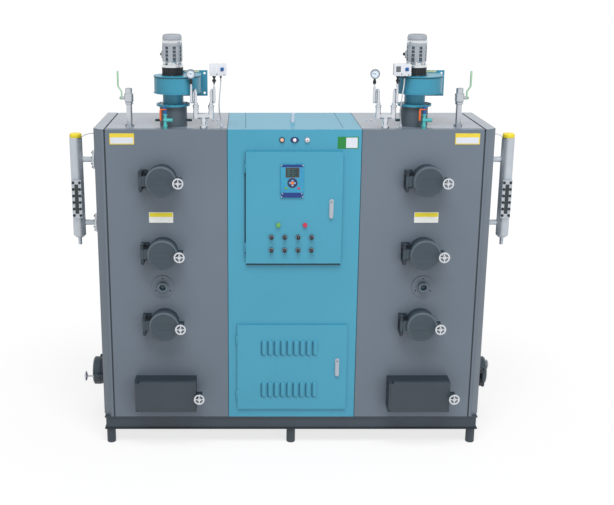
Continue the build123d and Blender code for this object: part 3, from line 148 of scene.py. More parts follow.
# Looks: red, green, blue, roughness, metal, spread of colour, scale of clouds, scale of grain, bump
LOOKS = {
    "casing_grey": (99, 110, 122, 0.42, 0, 0.05, 1.4, 420, 0.1),
    "casing_teal": (64, 147, 174, 0.34, 0, 0.05, 1.4, 420, 0.1),
    # Deck grey is a lighter copy of the casing grey for top faces: painted light from above
    "deck_grey": (122, 133, 147, 0.24, 0, 0.05, 1.8, 420, 0.08),
    "door_grey": (56, 68, 77, 0.5, 0, 0.07, 6, 700, 0.22),
    "dark_frame": (55, 65, 74, 0.5, 0, 0.08, 4, 600, 0.16),
    "foot_steel": (54, 63, 71, 0.5, 0, 0.1, 14, 700, 0.2),
    "chrome_wheel": (216, 218, 222, 0.16, 1, 0.03, 20, 500, 0.03),
    "stainless": (200, 205, 211, 0.34, 1, 0.05, 9, 160, 0.1),
    "motor_alloy": (174, 180, 187, 0.48, 0.75, 0.06, 12, 800, 0.22),
    "black_plastic": (30, 32, 35, 0.46, 0, 0.15, 20, 900, 0.15),
    "white_plastic": (224, 227, 231, 0.4, 0, 0.02, 12, 900, 0.08),
    "yellow_plastic": (226, 207, 54, 0.34, 0, 0.05, 18, 700, 0.08),
    "handle_alloy": (172, 182, 192, 0.34, 0.6, 0.04, 16, 700, 0.06),
    "display_plastic": (44, 132, 182, 0.34, 0, 0.04, 16, 900, 0.05),
    "gauge_case": (150, 155, 162, 0.28, 0.9, 0.04, 16, 500, 0.05),
    "valve_teal": (76, 174, 175, 0.3, 0.25, 0.08, 22, 500, 0.1),
    "lever_orange": (218, 102, 48, 0.36, 0, 0.06, 26, 700, 0.08),
    "lever_green": (152, 192, 160, 0.36, 0, 0.06, 26, 700, 0.08),
    "rubber_lead": (198, 202, 208, 0.44, 0, 0.04, 30, 900, 0.08),
    "bolt_steel": (150, 155, 160, 0.32, 0.95, 0.08, 40, 900, 0.08),
    "dark_bolt": (48, 52, 57, 0.42, 0.5, 0.1, 40, 900, 0.1),
    "label_yellow": (220, 196, 60, 0.38, 0, 0.03, 20, 900, 0.02),
    "label_white": (206, 211, 221, 0.38, 0, 0.02, 20, 900, 0.02),
    "label_green": (24, 122, 52, 0.38, 0, 0.03, 20, 900, 0.02),
    "label_cream": (206, 208, 160, 0.38, 0, 0.03, 20, 900, 0.02),
    "screen_blue": (6, 48, 118, 0.24, 0, 0.04, 20, 900, 0.01),
    "screen_dark": (30, 52, 56, 0.12, 0, 0.06, 40, 900, 0),
    "screen_line": (70, 128, 128, 0.3, 0, 0.02, 40, 900, 0),
    "pad_navy": (30, 48, 92, 0.36, 0, 0.05, 40, 900, 0.04),
    "pad_orange": (226, 120, 44, 0.34, 0, 0.04, 40, 900, 0.03),
    "button_green": (96, 160, 74, 0.26, 0, 0.04, 60, 900, 0.02),
    "button_red": (182, 44, 78, 0.26, 0, 0.04, 60, 900, 0.02),
    "lens_orange": (236, 176, 150, 0.18, 0, 0.05, 60, 900, 0),
    "lens_violet": (30, 38, 92, 0.18, 0, 0.05, 60, 900, 0),
    "lens_white": (236, 226, 228, 0.18, 0, 0.04, 60, 900, 0),
    "gland_blue": (20, 84, 146, 0.34, 0, 0.05, 60, 900, 0.05),
    "peg_teal": (30, 72, 80, 0.4, 0, 0.05, 30, 700, 0.1),
    "dark_inside": (20, 28, 32, 0.8, 0, 0.1, 10, 500, 0.1),
    "gauge_glass": (38, 48, 52, 0.08, 0, 0.05, 30, 900, 0),
    "bronze_frame": (96, 74, 60, 0.34, 0.3, 0.06, 30, 900, 0.04),
    "sight_rim": (104, 116, 126, 0.34, 0.5, 0.06, 30, 900, 0.08),
    "sight_glass": (16, 60, 70, 0.08, 0, 0.06, 40, 900, 0),
    "fan_seam": (64, 147, 174, 0.4, 0, 0.05, 8, 600, 0.08),
    "window_grey": (90, 98, 104, 0.16, 0, 0.05, 40, 900, 0),
    "column_steel": (190, 197, 205, 0.42, 0.6, 0.05, 9, 160, 0.1),
    "seal_grey": (42, 50, 56, 0.55, 0, 0.05, 6, 700, 0.1),
    "ash_grey": (50, 61, 69, 0.38, 0, 0.06, 6, 500, 0.1),
    "stand_grey": (74, 86, 95, 0.42, 0, 0.06, 6, 500, 0.1),
    "plate_white": (226, 228, 224, 0.38, 0, 0.02, 20, 900, 0.02),
    "band_yellow": (222, 206, 42, 0.38, 0, 0.03, 20, 900, 0.02),
    "fan_teal": (50, 134, 160, 0.32, 0, 0.05, 4, 500, 0.08),
    "pipe_bright": (214, 218, 224, 0.2, 1, 0.05, 12, 260, 0.06),
    # A brighter copy of the motor's alloy: painted highlight on the cowl's band and the bell
    "motor_painted_highlight": (218, 222, 225, 0.24, 0.9, 0.05, 14, 700, 0.1),
    "gauge_ring": (150, 157, 165, 0.24, 0.9, 0.04, 16, 500, 0.05),
    "case_white": (204, 207, 214, 0.36, 0, 0.02, 20, 900, 0.04),
    # Darker grey for the door necks, the ash frames and the spindle collars: painted shade
    "dark_painted_shade": (38, 47, 55, 0.46, 0, 0.07, 6, 700, 0.18),
    # Lighter grey on the bevelled rims of the door covers: a painted highlight
    "rim_painted_highlight": (78, 90, 99, 0.34, 0, 0.05, 12, 700, 0.1),
    # Near-black for the lower lips of the base channels: painted shade
    "lip_painted_shade": (16, 26, 32, 0.55, 0, 0.08, 6, 600, 0.15),
    "louvre_shade": (28, 100, 124, 0.5, 0, 0.06, 20, 700, 0.1),
    # Dark teal for real seams, and as painted shade under the panel door and the fan casing's lip
    "seam_and_shade_teal": (30, 70, 84, 0.55, 0, 0.06, 20, 700, 0.1),
    # Darker copy of the motor's alloy for the core behind the slots: painted shade
    "motor_shade": (86, 99, 109, 0.5, 0.4, 0.08, 20, 700, 0.15),
    "key_blue": (140, 182, 214, 0.3, 0, 0.03, 40, 900, 0.02),
    "dial_white": (208, 221, 233, 0.3, 0, 0.01, 60, 900, 0),
}
LOOK_EXTRAS = {
    "chrome_wheel": {"rough_spread": 0.05},
    "stainless": {"stretch": (9, 9, 0.6), "rough_spread": 0.1},
    "display_plastic": {"other": srgb(48, 150, 176)},
    "column_steel": {"stretch": (9, 9, 0.6), "rough_spread": 0.08},
    "pipe_bright": {"stretch": (6, 6, 0.8), "rough_spread": 0.08},
}
M = {
    name: material(name, srgb(*values[:3]), *values[3:], **LOOK_EXTRAS.get(name, {}))
    for name, values in LOOKS.items()
}


# Local frames: on the fronts, on the deck and on the sides
def at(origin, x=(1, 0, 0), z=(0, -1, 0)):
    """A local frame in millimetres, as a matrix in metres."""
    axis_z = Vector(z).normalized()
    axis_x = Vector(x).normalized()
    made = Matrix((axis_x, axis_z.cross(axis_x), axis_z)).transposed().to_4x4()
    made.translation = Vector(origin) * MM
    return made @ Matrix.Scale(MM, 4)


def front(x, y, z):
    return at((x, y, z))


def upright(x, y, z):
    return at((x, y, z), (1, 0, 0), (0, 0, 1))


def side_frame(side, y, z):
    return at((side * SIDE_X, y, z), (0, side, 0), (side, 0, 0))


def shifted(place, x, y, z=0):
    return place @ Matrix.Translation((x, y, z))


def stretched(place, x, y):
    return place @ Matrix.Diagonal((x, y, 1, 1))


def turned(place, degrees, axis="Z"):
    return place @ Matrix.Rotation(radians(degrees), 4, axis)


def around(place, count, radius, height, start):
    """Places evenly round a circle, from a starting angle in degrees."""
    for step in range(count):
        angle = radians(start) + 2 * pi * step / count
        yield shifted(place, radius * cos(angle), radius * sin(angle), height)


# Outlines in a local frame, in millimetres
def capsule(width, height, steps=10):
    """An upright outline with round ends."""
    radius = width / 2
    lift = height / 2 - radius
    angles = [pi * step / steps for step in range(steps + 1)]
    top = [(radius * cos(angle), lift + radius * sin(angle)) for angle in angles]
    return top + [(-x, -y) for x, y in top]


def rounded(width, height, radius):
    """A rectangle with round corners."""
    outline = []
    for corner, (side_x, side_y) in enumerate(((1, 1), (-1, 1), (-1, -1), (1, -1))):
        for step in range(6):
            angle = pi / 2 * (corner + step / 5)
            x = side_x * (width / 2 - radius) + radius * cos(angle)
            y = side_y * (height / 2 - radius) + radius * sin(angle)
            outline.append((x, y))
    return outline


def rounded_strip(width, low, high):
    """An upright strip with a round top, from one height to another."""
    radius = width / 2
    angles = [pi * step / 10 for step in range(11)]
    arc = [(radius * cos(angle), high - radius + radius * sin(angle)) for angle in angles]
    return [(radius, low)] + arc + [(-radius, low)]


# Mesh pieces, gathered by name and closed at the end
class Piece:
    """One mesh object that rides on a body."""

    made = {}

    def __init__(self, name, body, look, slot, sharp, replaces):
        self.name, self.body, self.look, self.slot, self.sharp = name, body, look, slot, sharp
        self.mesh = bmesh.new()
        self.stands_for = replaces

    def turn(self, place, profile, segments=40):
        """A profile of (radius, height) points turned about the local Z axis."""
        angles = [2 * pi * step / segments for step in range(segments)]
        rings = [
            [
                self.mesh.verts.new(place @ Vector((radius * cos(a), radius * sin(a), height)))
                for a in (angles if radius else angles[:1])
            ]
            for radius, height in profile
        ]
        for low, high in zip(rings, rings[1:]):
            count = max(len(low), len(high))
            if count == 1:
                continue
            for step in range(count):
                after = (step + 1) % count
                corners = [
                    low[step % len(low)],
                    low[after % len(low)],
                    high[after % len(high)],
                    high[step % len(high)],
                ]
                self.mesh.faces.new(list(dict.fromkeys(corners)))
        return self

    def solid(self, place, rim, segments=40):
        """A rim turned about the local Z axis, with a flat face at each of its ends."""
        return self.turn(place, [(0, rim[0][1])] + rim + [(0, rim[-1][1])], segments)

    def prism(self, place, outline, low, high, bevel=0.0, segments=2):
        """A polygon in the local XY plane, pushed from one height to another."""
        bottom = [self.mesh.verts.new(place @ Vector((x, y, low))) for x, y in outline]
        top = [self.mesh.verts.new(place @ Vector((x, y, high))) for x, y in outline]
        faces = [self.mesh.faces.new(bottom[::-1]), self.mesh.faces.new(top)]
        for step in range(len(outline)):
            after = (step + 1) % len(outline)
            faces.append(self.mesh.faces.new((bottom[step], bottom[after], top[after], top[step])))
        if bevel:
            edges = list(dict.fromkeys(edge for face in faces for edge in face.edges))
            bmesh.ops.bevel(self.mesh, geom=edges, offset=bevel * MM, segments=segments,
                            profile=0.6, affect="EDGES", clamp_overlap=True)
        return self

    def block(self, place, low, high, bevel=0.0, segments=2):
        outline = [(low[0], low[1]), (high[0], low[1]), (high[0], high[1]), (low[0], high[1])]
        return self.prism(place, outline, low[2], high[2], bevel, segments)

    def nut(self, place, across, low, high):
        """A hexagon nut or bolt head with a chamfered top."""
        reach = across / 2 / cos(pi / 6)
        turns = [step * pi / 3 for step in range(6)]
        corners = [(reach * cos(turn), reach * sin(turn)) for turn in turns]
        return self.prism(place, corners, low, high, bevel=across * 0.05, segments=1)

    def bolt(self, place, across, head=None, shank=True):
        """A hexagon bolt head on its washer, with the end of its shank."""
        washer, rim = across * 0.10, across * 0.62
        top = washer + (head or across * 0.42)
        self.solid(place, [(rim, 0), (rim, washer)], 24)
        self.nut(place, across, washer, top)
        if shank:
            tip = across * 0.26
            end = [(tip, top + tip * 0.6), (tip * 0.7, top + tip), (0, top + tip)]
            self.turn(place, [(0, top), (tip, top)] + end, 16)
        return self

    def screw(self, place, diameter):
        """A domed screw head."""
        half = diameter / 2
        rise = diameter * 0.3
        dome = [(half, rise * 0.4), (half * 0.8, rise * 0.8), (half * 0.45, rise), (0, rise)]
        self.turn(place, [(0, 0), (half, 0)] + dome, 20)
        return self

    def ring(self, place, radius, tube, segments=56, sides=14):
        """A round ring in the local XY plane."""
        loops = []
        for step in range(segments):
            angle = 2 * pi * step / segments
            loop = []
            for turn in range(sides):
                spin = 2 * pi * turn / sides
                reach = radius + tube * cos(spin)
                point = Vector((reach * cos(angle), reach * sin(angle), tube * sin(spin)))
                loop.append(self.mesh.verts.new(place @ point))
            loops.append(loop)
        for step in range(segments):
            first, second = loops[step], loops[(step + 1) % segments]
            for turn in range(sides):
                after = (turn + 1) % sides
                self.mesh.faces.new((first[turn], second[turn], second[after], first[after]))
        return self

    def bar(self, start, end, near, far, segments):
        """A tapered round bar between two points in millimetres, with its radius at each."""
        line = end - start
        axis = line.normalized()
        return self.solid(at(start, axis.orthogonal(), axis), [(near, 0), (far, line.length)], segments)

    def loft(self, place, rings):
        """A closed skin through rings that have the same number of points."""
        loops = [[self.mesh.verts.new(place @ Vector(point)) for point in ring] for ring in rings]
        for low, high in zip(loops, loops[1:]):
            for step in range(len(low)):
                after = (step + 1) % len(low)
                self.mesh.faces.new((low[step], low[after], high[after], high[step]))
        self.mesh.faces.new(loops[0][::-1])
        self.mesh.faces.new(loops[-1])
        return self

    def tube(self, points, radius, bend):
        """A round tube through points in millimetres, with an arc at each bend."""
        points = [Vector(point) for point in points]
        angles = [2 * pi * turn / 18 for turn in range(18)]
        line = [points[0]]
        for before, corner, after in zip(points, points[1:], points[2:]):
            first, second = (before - corner).normalized(), (after - corner).normalized()
            start, end = corner + first * bend, corner + second * bend
            for step in range(9):
                share, rest = step / 8, 1 - step / 8
                line.append(start * rest ** 2 + corner * 2 * share * rest + end * share ** 2)
        line.append(points[-1])
        loops = []
        across = (line[1] - line[0]).orthogonal().normalized()
        for index, point in enumerate(line):
            ahead = (line[min(index + 1, len(line) - 1)] - line[max(index - 1, 0)]).normalized()
            across = (across - ahead * across.dot(ahead)).normalized()
            other = ahead.cross(across)
            loops.append([point + (across * cos(a) + other * sin(a)) * radius for a in angles])
        return self.loft(Matrix.Scale(MM, 4), loops)

    @staticmethod
    def arrange(elements, spot):
        """Sorts points or faces by place, because a bevel leaves them in another order each run."""
        for index, element in enumerate(sorted(elements, key=spot)):
            element.index = index
        elements.sort()

    def close(self):
        bmesh.ops.recalc_face_normals(self.mesh, faces=self.mesh.faces)
        self.arrange(self.mesh.verts, lambda vert: tuple(vert.co))
        self.arrange(self.mesh.faces, lambda face: sorted(tuple(vert.co) for vert in face.verts))
        data = bpy.data.meshes.new(self.name)
        self.mesh.to_mesh(data)
        self.mesh.free()
        data.polygons.foreach_set("use_smooth", [True] * len(data.polygons))
        data.set_sharp_from_angle(angle=radians(self.sharp))
        data.materials.append(M[self.look])
        made = linked(self.name, data)
        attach(made, self.body)
        if self.stands_for:
            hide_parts(*self.stands_for)
        return made


def piece(name, body, look, slot=None, sharp=32, replaces=()):
    """The piece of that name, made on first use; its slot, or its look when no slot is given, is stored
    but not used.
    """
    if name not in Piece.made:
        Piece.made[name] = Piece(name, body, look, slot or look, sharp, replaces)
    return Piece.made[name]


def fixed(name, look, slot=None, sharp=32, replaces=()):
    """The piece of that name on the body that stands still."""
    return piece(name, "boiler", look, slot, sharp, replaces)


# Leads and cables
def free_cord(name, route, diameter, node):
    data = bpy.data.curves.new(name, "CURVE")
    data.dimensions = "3D"
    data.bevel_depth = diameter / 2 * MM
    data.bevel_resolution = 5
    data.resolution_u = 16
    data.use_fill_caps = True
    spline = data.splines.new("NURBS")
    spline.points.add(len(route) - 1)
    for point, (x, y, z) in zip(spline.points, route):
        point.co = (x * MM, y * MM, z * MM, 1)
    spline.order_u = 3
    spline.use_endpoint_u = True
    data.materials.append(M["rubber_lead"])
    made = linked(name, data)
    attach(made, "boiler")
    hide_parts(node)
    start = [value * MM for value in route[0]]


for name, side in SIDES.items():
    steps = ((PROBE_X, PROBE_Z), (1281, 1948), (1239, 1951), (SIDE_X, 1951))
    route = [(side * x, COLUMN_Y, z) for x, z in steps]
    free_cord(f"probe_wire_{name}", route, 7, f"probe_lead_{name}")
    steps = (
        (103, 5, 2328), (103, 5, 2290), (95, 11, 2225), (91, 29, 2160),
        (93, 60, 2105), (102, 80, 2075), (102, 80, 2041),
    )
    route = [(side * MANIFOLD_X + x, y, z) for x, y, z in steps]
    free_cord(f"switch_wire_{name}", route, 8, f"switch_cable_{name}")


# Doors: wheels with their spindles, hinge bolts and pins, rims and collars
def hand_wheel(prefix, name, place, offset, spindle_end):
    """A bright spoked wheel with its hub, cap nut and threaded spindle."""
    body = f"{prefix}_handwheel_{name}"
    wheel = piece(f"{prefix}_wheel_{name}", body, "chrome_wheel", None, 40, (body,))
    middle = shifted(place, offset, 0, 150)
    wheel.ring(middle, 28.4, 5.6)
    wheel.solid(middle, [(10, -13), (12.6, -10), (12.6, 4), (10.5, 6.5)], 32)
    wheel.nut(middle, 14, 6.5, 12)
    wheel.turn(middle, [(0, 12), (3.6, 12), (3.2, 14), (0, 14.6)], 20)
    for quarter in range(4):
        angle = radians(90 * quarter)
        direction = Vector((cos(angle), sin(angle), 0))
        start = (middle @ (direction * 9)) / MM
        end = (middle @ (direction * 26)) / MM
        wheel.bar(start, end, 4.7, 3.8, 14)
    thread = [(4.6, spindle_end - 150), (5.9, spindle_end - 148)]
    height = spindle_end - 148
    while height < -17:
        thread += [(5.9, height + 0.6), (5.1, height + 1.2), (5.9, height + 1.8)]
        height += 1.8
    wheel.solid(middle, thread + [(5.9, -13)], 24)


def collar(door, place, reach, height):
    """The collar that holds a wheel's spindle on its door."""
    # The collar's darker grey is painted shade, as on the door necks
    lug = piece(door + "_collar", door, "dark_painted_shade", "door_grey")
    lug.turn(shifted(place, reach, 0, height), [(6.3, 0), (11, 0), (11, 4), (9.5, 5.5), (6.3, 5.5)], 28)


def round_door(prefix, name, place):
    door = f"{prefix}_door_{name}"
    bolts = fixed("hinge_bolts", "door_grey")
    for y in (42, -42):
        bolts.bolt(shifted(place, -98, y, 10), 11)
    for top in (-1, 1):
        pin = turned(shifted(place, -123, top * 61, 76), -90 * top, "X")
        bolts.solid(pin, [(8.5, 0), (8.5, 3), (6.5, 5)], 24)
    hand_wheel(prefix, name, place, 104, 62.5)
    # The bevelled rim is painted lighter than the door: a painted highlight
    face = piece(door + "_rim", door, "rim_painted_highlight", "door_grey")
    face.turn(place, [(91.4, 99.0), (92.7, 100.0), (84.9, 108.7), (82.4, 109.0), (82.4, 107.6)], 96)
    collar(door, place, 104, 92.9)


for name, side in SIDES.items():
    for level, height in DOOR_HEIGHTS.items():
        round_door(level, name, front(side * UNIT_X, FRONT_Y, height))
    round_door("side", name, side_frame(side, SIDE_DOOR_Y, SIDE_DOOR_Z))
for name, side in SIDES.items():
    place = front(side * UNIT_X, FRONT_Y, ASH_Z)
    hand_wheel("ash", name, place, 212, 88.4)
    collar(f"ash_door_{name}", place, 212, 112.5)


# Blank plates: a yellow one with a pale field and a pale one with a yellow band on each unit,
# a strip on each blower's outlet flange, and a green one with a pale field on the cabinet
def blank_plates():
    for side in (-1, 1):
        place = front(side * 1023.5, FRONT_Y, 1973)
        plates = fixed("label_plates", "label_yellow", "yellow_plastic")
        plates.block(place, (-73, -33, 0), (73, 33, 0.8), 0.3, 1)
        fields = fixed("label_fields", "label_white", "white_plastic")
        fields.block(place, (-67, -27, 0.8), (67, 8.58, 1.1))
        place = front(side * 801, FRONT_Y, 1495)
        plates = fixed("banded_plates", "plate_white", "white_plastic")
        plates.block(place, (-73, -32.5, 0), (73, 32.5, 0.8), 0.3, 1)
        bands = fixed("label_bands", "band_yellow", "yellow_plastic")
        bands.block(place, (-70, 3.9, 0.8), (70, 29.5, 1.1))
        place = front(side * BLOWER_X + 107, 286, 2337.5)
        strips = fixed("outlet_strips", "label_cream", "yellow_plastic")
        strips.block(place, (-44, -4.5, 4), (44, 4.5, 4.7), 0.2, 1)
    place = front(317, FRONT_Y, 1950)
    plate = fixed("cabinet_plate", "label_green", "display_plastic")
    plate.block(place, (-62, -36, 0), (62, 36, 0.8), 0.3, 1)
    fields.block(place, (-11.5, -31, 0.8), (56, 31, 1.1))


# Display of the controller, with a round key pad and blank bands
def controller_face():
    place = front(-13, DISPLAY_FACE_Y, 1725)
    bands = piece("display_bands", PANEL, "screen_blue", "display_plastic")
    bands.block(place, (-66, 85, 0), (66, 100, 0.5))
    bands.block(place, (-66, -100, 0), (66, -70, 0.5))
    frame_piece = piece("display_frame", PANEL, "bronze_frame", "display_plastic")
    frame_piece.block(place, (-40, 23, 0), (42, 82, 1.2), 0.5, 1)
    piece("display_screen", PANEL, "screen_dark", "gauge_glass").block(
        place, (-36, 27, 1.2), (38, 78, 1.6))
    marks = piece("display_marks", PANEL, "screen_line", "display_plastic")
    for row, reach in enumerate((20, 12, 24, 16)):
        height = 70 - row * 11
        marks.block(place, (-4, height - 0.8, 1.6), (-4 + reach, height + 0.8, 1.8))
        marks.block(place, (-30, height - 1.4, 1.6), (-14, height + 1.4, 1.8))
    pad = shifted(place, 1.5, -10.5)
    frame_piece.solid(pad, [(30.5, 0), (30.5, 1.2), (28.6, 1.8)], 56)
    piece("display_pad", PANEL, "pad_navy", "black_plastic").solid(
        pad, [(28.4, 1.8), (28.4, 2.6), (27, 3.1)], 56)
    keys = piece("display_keys", PANEL, "key_blue", "white_plastic")
    for quarter in range(4):
        key = turned(pad, 90 * quarter)
        keys.prism(key, [(10.5, -7), (17, -5), (20, 0), (17, 5), (10.5, 7)], 3.1, 4.1, 0.5, 1)
    piece("display_centre_key", PANEL, "pad_orange", "lever_orange").prism(
        pad, rounded(17, 17, 4), 3.1, 4.4, 0.5, 1)
    for x, look, name in ((-36, "button_green", "start"), (40, "button_red", "stop")):
        oval = stretched(shifted(place, x, -43.5), 1.6, 1)
        piece(f"display_{name}_key", PANEL, look, "lamp_plastic").turn(
            oval, [(0, 0), (6, 0), (6, 1.2), (4.8, 2), (0, 2.2)], 32)
    screws = piece("display_screws", PANEL, "handle_alloy", "stainless")
    for x, y in ((-63, 95), (63, 95), (-63, -95), (63, -95), (-58, -76), (58, -76)):
        screws.screw(shifted(place, x, y, 0.4), 9)


# Push buttons and rotary selectors
def push_button(name, x, look):
    place = front(x, PANEL_FACE_Y, 1455)
    bezels = piece("control_bezels", PANEL, "handle_alloy", replaces=("panel_controls",))
    bezels.solid(place, [(15, 0), (15, 3), (14, 4.6)], 44)
    piece(name, PANEL, look, "lamp_plastic").turn(
        place, [(0, 4.6), (13.6, 4.6), (14.2, 6), (14.2, 12), (12.8, 14.6), (8, 15.6), (0, 16)], 44)


def selector(x, z):
    place = front(x, PANEL_FACE_Y, z)
    piece("selector_collars", PANEL, "dark_bolt", "black_plastic").solid(
        place, [(16, 0), (16, 3.4), (15, 4.4)], 44)
    piece("selector_bezels", PANEL, "handle_alloy").solid(
        place, [(13.8, 4.4), (13.8, 6.6), (13, 7.6), (11.2, 7.6), (11.2, 6.4)], 44)
    knobs = piece("selector_knobs", PANEL, "black_plastic")
    knobs.solid(place, [(10.6, 6.4), (10.6, 25), (9.8, 26)], 36)
    knobs.prism(place, capsule(7.5, 20, 6), 26, 31, 1.2, 2)
    piece("selector_marks", PANEL, "label_white", "white_plastic").block(
        place, (-0.6, 4, 31), (0.6, 9, 31.2))


def pilot_lamp(x, bezel, lens, width=1.0):
    """A lamp with its bezel and a domed lens."""
    place = front(x, FRONT_Y, 1967)
    bezel.solid(stretched(place, width, 1), [(17, 0), (17, 3.5), (15.4, 6), (11.5, 6.6)], 48)
    dome = [(0, 6.6), (10.8, 6.6), (10.8, 11), (9.4, 13.6), (6.4, 15.4), (3, 16.1), (0, 16.2)]
    lens.turn(place, dome, 40)
    return place


def door_handle(body, x, y, z):
    """A flush lever handle on its long base, with a key cylinder at the top."""
    name, place = body + "_handle", front(x, y, z)
    base = piece(name + "_grip", body, "handle_alloy", None, 40, (name,))
    base.prism(place, capsule(26, 121), 0, 5, 1.4, 2)
    base.prism(shifted(place, 0, -9), capsule(20, 98), 5, 13.5, 3.4, 4)
    key = shifted(place, 0, 48)
    base.solid(key, [(7.6, 5), (7.6, 9), (6.4, 10)], 32)
    keyhole = piece(name + "_keyhole", body, "dark_inside", "black_plastic")
    keyhole.block(key, (-0.9, -3.4, 10), (0.9, 3.4, 10.2))


blank_plates()
controller_face()
push_button("start_button", -93.5, "button_green")
push_button("stop_button", 67.5, "button_red")
for row in (1379, 1298):
    for column in range(4):
        selector(-13 + (column - 1.5) * 81, row)
bezels = fixed("lamp_bezels", "peg_teal", "black_plastic", replaces=("pilot_lamps",))
pilot_lamp(-75, bezels, fixed("lamp_lens_left", "lens_orange", "lamp_plastic"))
bezels = fixed("lamp_bezel_middle", "lens_violet", "black_plastic")
pilot_lamp(0, bezels, fixed("lamp_lens_middle", "lens_white", "lamp_plastic"), 1.45)
bezels = fixed("lamp_bezel_right", "handle_alloy")
place = pilot_lamp(75, bezels, fixed("lamp_lens_right", "lens_white", "lamp_plastic"))
fixed("lamp_centre_right", "lens_violet", "lamp_plastic").turn(
    place, [(0, 16.1), (4, 15.6), (3.6, 16.5), (0, 16.9)], 24)
door_handle(PANEL, 224, PANEL_FACE_Y, 1555)
door_handle("louvre_door", 283, LOUVRE_FACE_Y, 533)


# Louvres: pressed hoods with round ends over dark strips of painted shade for their mouths
HOOD_SECTION = (
    (-12, 0), (-12, 3), (-8.5, 7.2), (-2, 9.6), (5, 10.2), (11, 10.0), (12.4, 8.4), (12.4, 0),
)


def hood_rings(length, end):
    """Cross-sections of one hood, drawn in towards both of its ends."""
    rings = []
    for step in range(1, 8):
        share = sin(pi / 2 * step / 7)
        rings.append((-length / 2 + end * (1 - cos(pi / 2 * step / 7)), share))
    rings += [(-y, share) for y, share in rings[::-1]]
    return [[(x * (0.35 + 0.65 * share), y, z * share) for x, z in HOOD_SECTION] for y, share in rings]


def louvre_hoods():
    mouths = piece("louvre_mouths", "louvre_door", "louvre_shade", "casing_teal")
    hoods = piece("louvre_hoods", "louvre_door", "casing_teal", None, 50)
    for row in (662, 381):
        for column in range(9):
            place = front(-177 + column * 40, LOUVRE_FACE_Y, row)
            mouths.prism(shifted(place, -6.5, -3), capsule(27, 101, 8), 0, 1.6, 0.5, 1)
            hoods.loft(place, hood_rings(100, 14))


# Dark strips beside and under the panel door: painted shadow of the door on the casing
def door_painted_shadows():
    strips = fixed("door_painted_shadows", "seam_and_shade_teal", "casing_teal")
    corner = front(-288.5, FRONT_Y, 1213)
    strips.block(corner, (0, -18, 0), (577, -2, 0.8))
    strips.block(corner, (-9, 59, 0), (-1, 606, 0.8))


# Seams of the cabinet's roof and edges, and the white plugs beside it
def seams_and_plugs():
    seams = fixed("roof_seams", "dark_inside", "casing_teal")
    plugs = fixed("deck_plugs", "label_white", "white_plastic")
    edges = fixed("cabinet_seams", "seam_and_shade_teal", "casing_teal")
    for side in (-1, 1):
        seams.block(upright(side * 290, 0, DECK_Z), (-1.2, FRONT_Y + 52, 0), (1.2, BACK_Y - 4, 0.25))
        for reach in (465, 495):
            plug = upright(side * reach, 334, DECK_Z)
            plugs.solid(plug, [(6, 0), (6, 3), (5, 4.4)], 32)
        edges.block(front(side * CABINET_X, FRONT_Y, 0), (-2.4, 190, 0), (2.4, 2028, 0.4))
        edges.block(upright(side * CABINET_X, 0, DECK_Z), (-2, FRONT_Y, 0), (2, BACK_Y, 0.4))


# Base frame: the lower lip of its channels, all the way round, darker as painted shade
def base_lips():
    lips = fixed("base_lips", "lip_painted_shade", "dark_frame")
    corner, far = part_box("base_frame")
    left, front_y, right, back_y = (value / MM for value in (*corner[:2], *far[:2]))
    out, deep = 0.6, 6
    for x_low, y_low, x_high, y_high in (
        (left - out, front_y - out, right + out, front_y + deep),
        (left - out, back_y - deep, right + out, back_y + out),
        (left - out, front_y + deep, left + deep, back_y - deep),
        (right - deep, front_y + deep, right + out, back_y - deep),
    ):
        lips.block(upright(0, 0, 0), (x_low, y_low, 101.4), (x_high, y_high, 111.6), 0.8, 1)


# Side covers: outer sheets with sloped front edges, tops, and the seals in their grooves
def side_sheets():
    ground = upright(0, 0, 0)
    sheets = fixed("side_sheets", "casing_grey")
    for side in (-1, 1):
        outline = [(1147.4, FRONT_Y - 0.6), (1197, 10), (1197, BACK_Y + 0.6), (1150, BACK_Y + 0.6)]
        outline = [(side * x, y) for x, y in outline]
        sheets.prism(ground, outline, 189.2, DECK_Z + 0.6, 1.0, 2)
        seals = fixed("groove_seals", "seal_grey", "casing_grey")
        near = FRONT_Y + 3
        for far, low, high in ((FRONT_Y + 11, 190, 2025), (BACK_Y - 3, 2018, 2026)):
            outline = [(1122.2, near), (1130.8, near), (1130.8, far), (1122.2, far)]
            seals.prism(ground, [(side * x, y) for x, y in outline], low, high)
        # The cover tops take the lighter deck grey: painted light on top faces
        outline = [(1131.6, FRONT_Y), (1147, FRONT_Y), (1196, 10), (1196, BACK_Y), (1131.6, BACK_Y)]
        outline = [(side * x, y) for x, y in outline]
        fixed("cover_tops", "deck_grey", "casing_grey").prism(
            ground, outline, DECK_Z + 0.2, DECK_Z + 1.2, 0.4, 1)


# Sight ports: rim, glass and three screws
def sight_port(side):
    place = front(side * 800, FRONT_Y, 1059)
    rim = fixed("sight_rims", "sight_rim", "door_grey")
    rim.ring(shifted(place, 0, 0, 29), 25, 6.2, 56, 16)
    rim.turn(place, [(29.6, 5), (31.4, 5), (31.4, 9), (30, 10.5), (29.6, 10.5)], 56)
    fixed("sight_glasses", "sight_glass", "gauge_glass").turn(
        place, [(0, 12), (18.6, 12), (18.6, 13.5), (12, 14.5), (0, 15)], 48)
    screws = fixed("sight_screws", "dark_bolt", "door_grey")
    for spot in around(place, 3, 52, 5, 90):
        screws.screw(spot, 9)


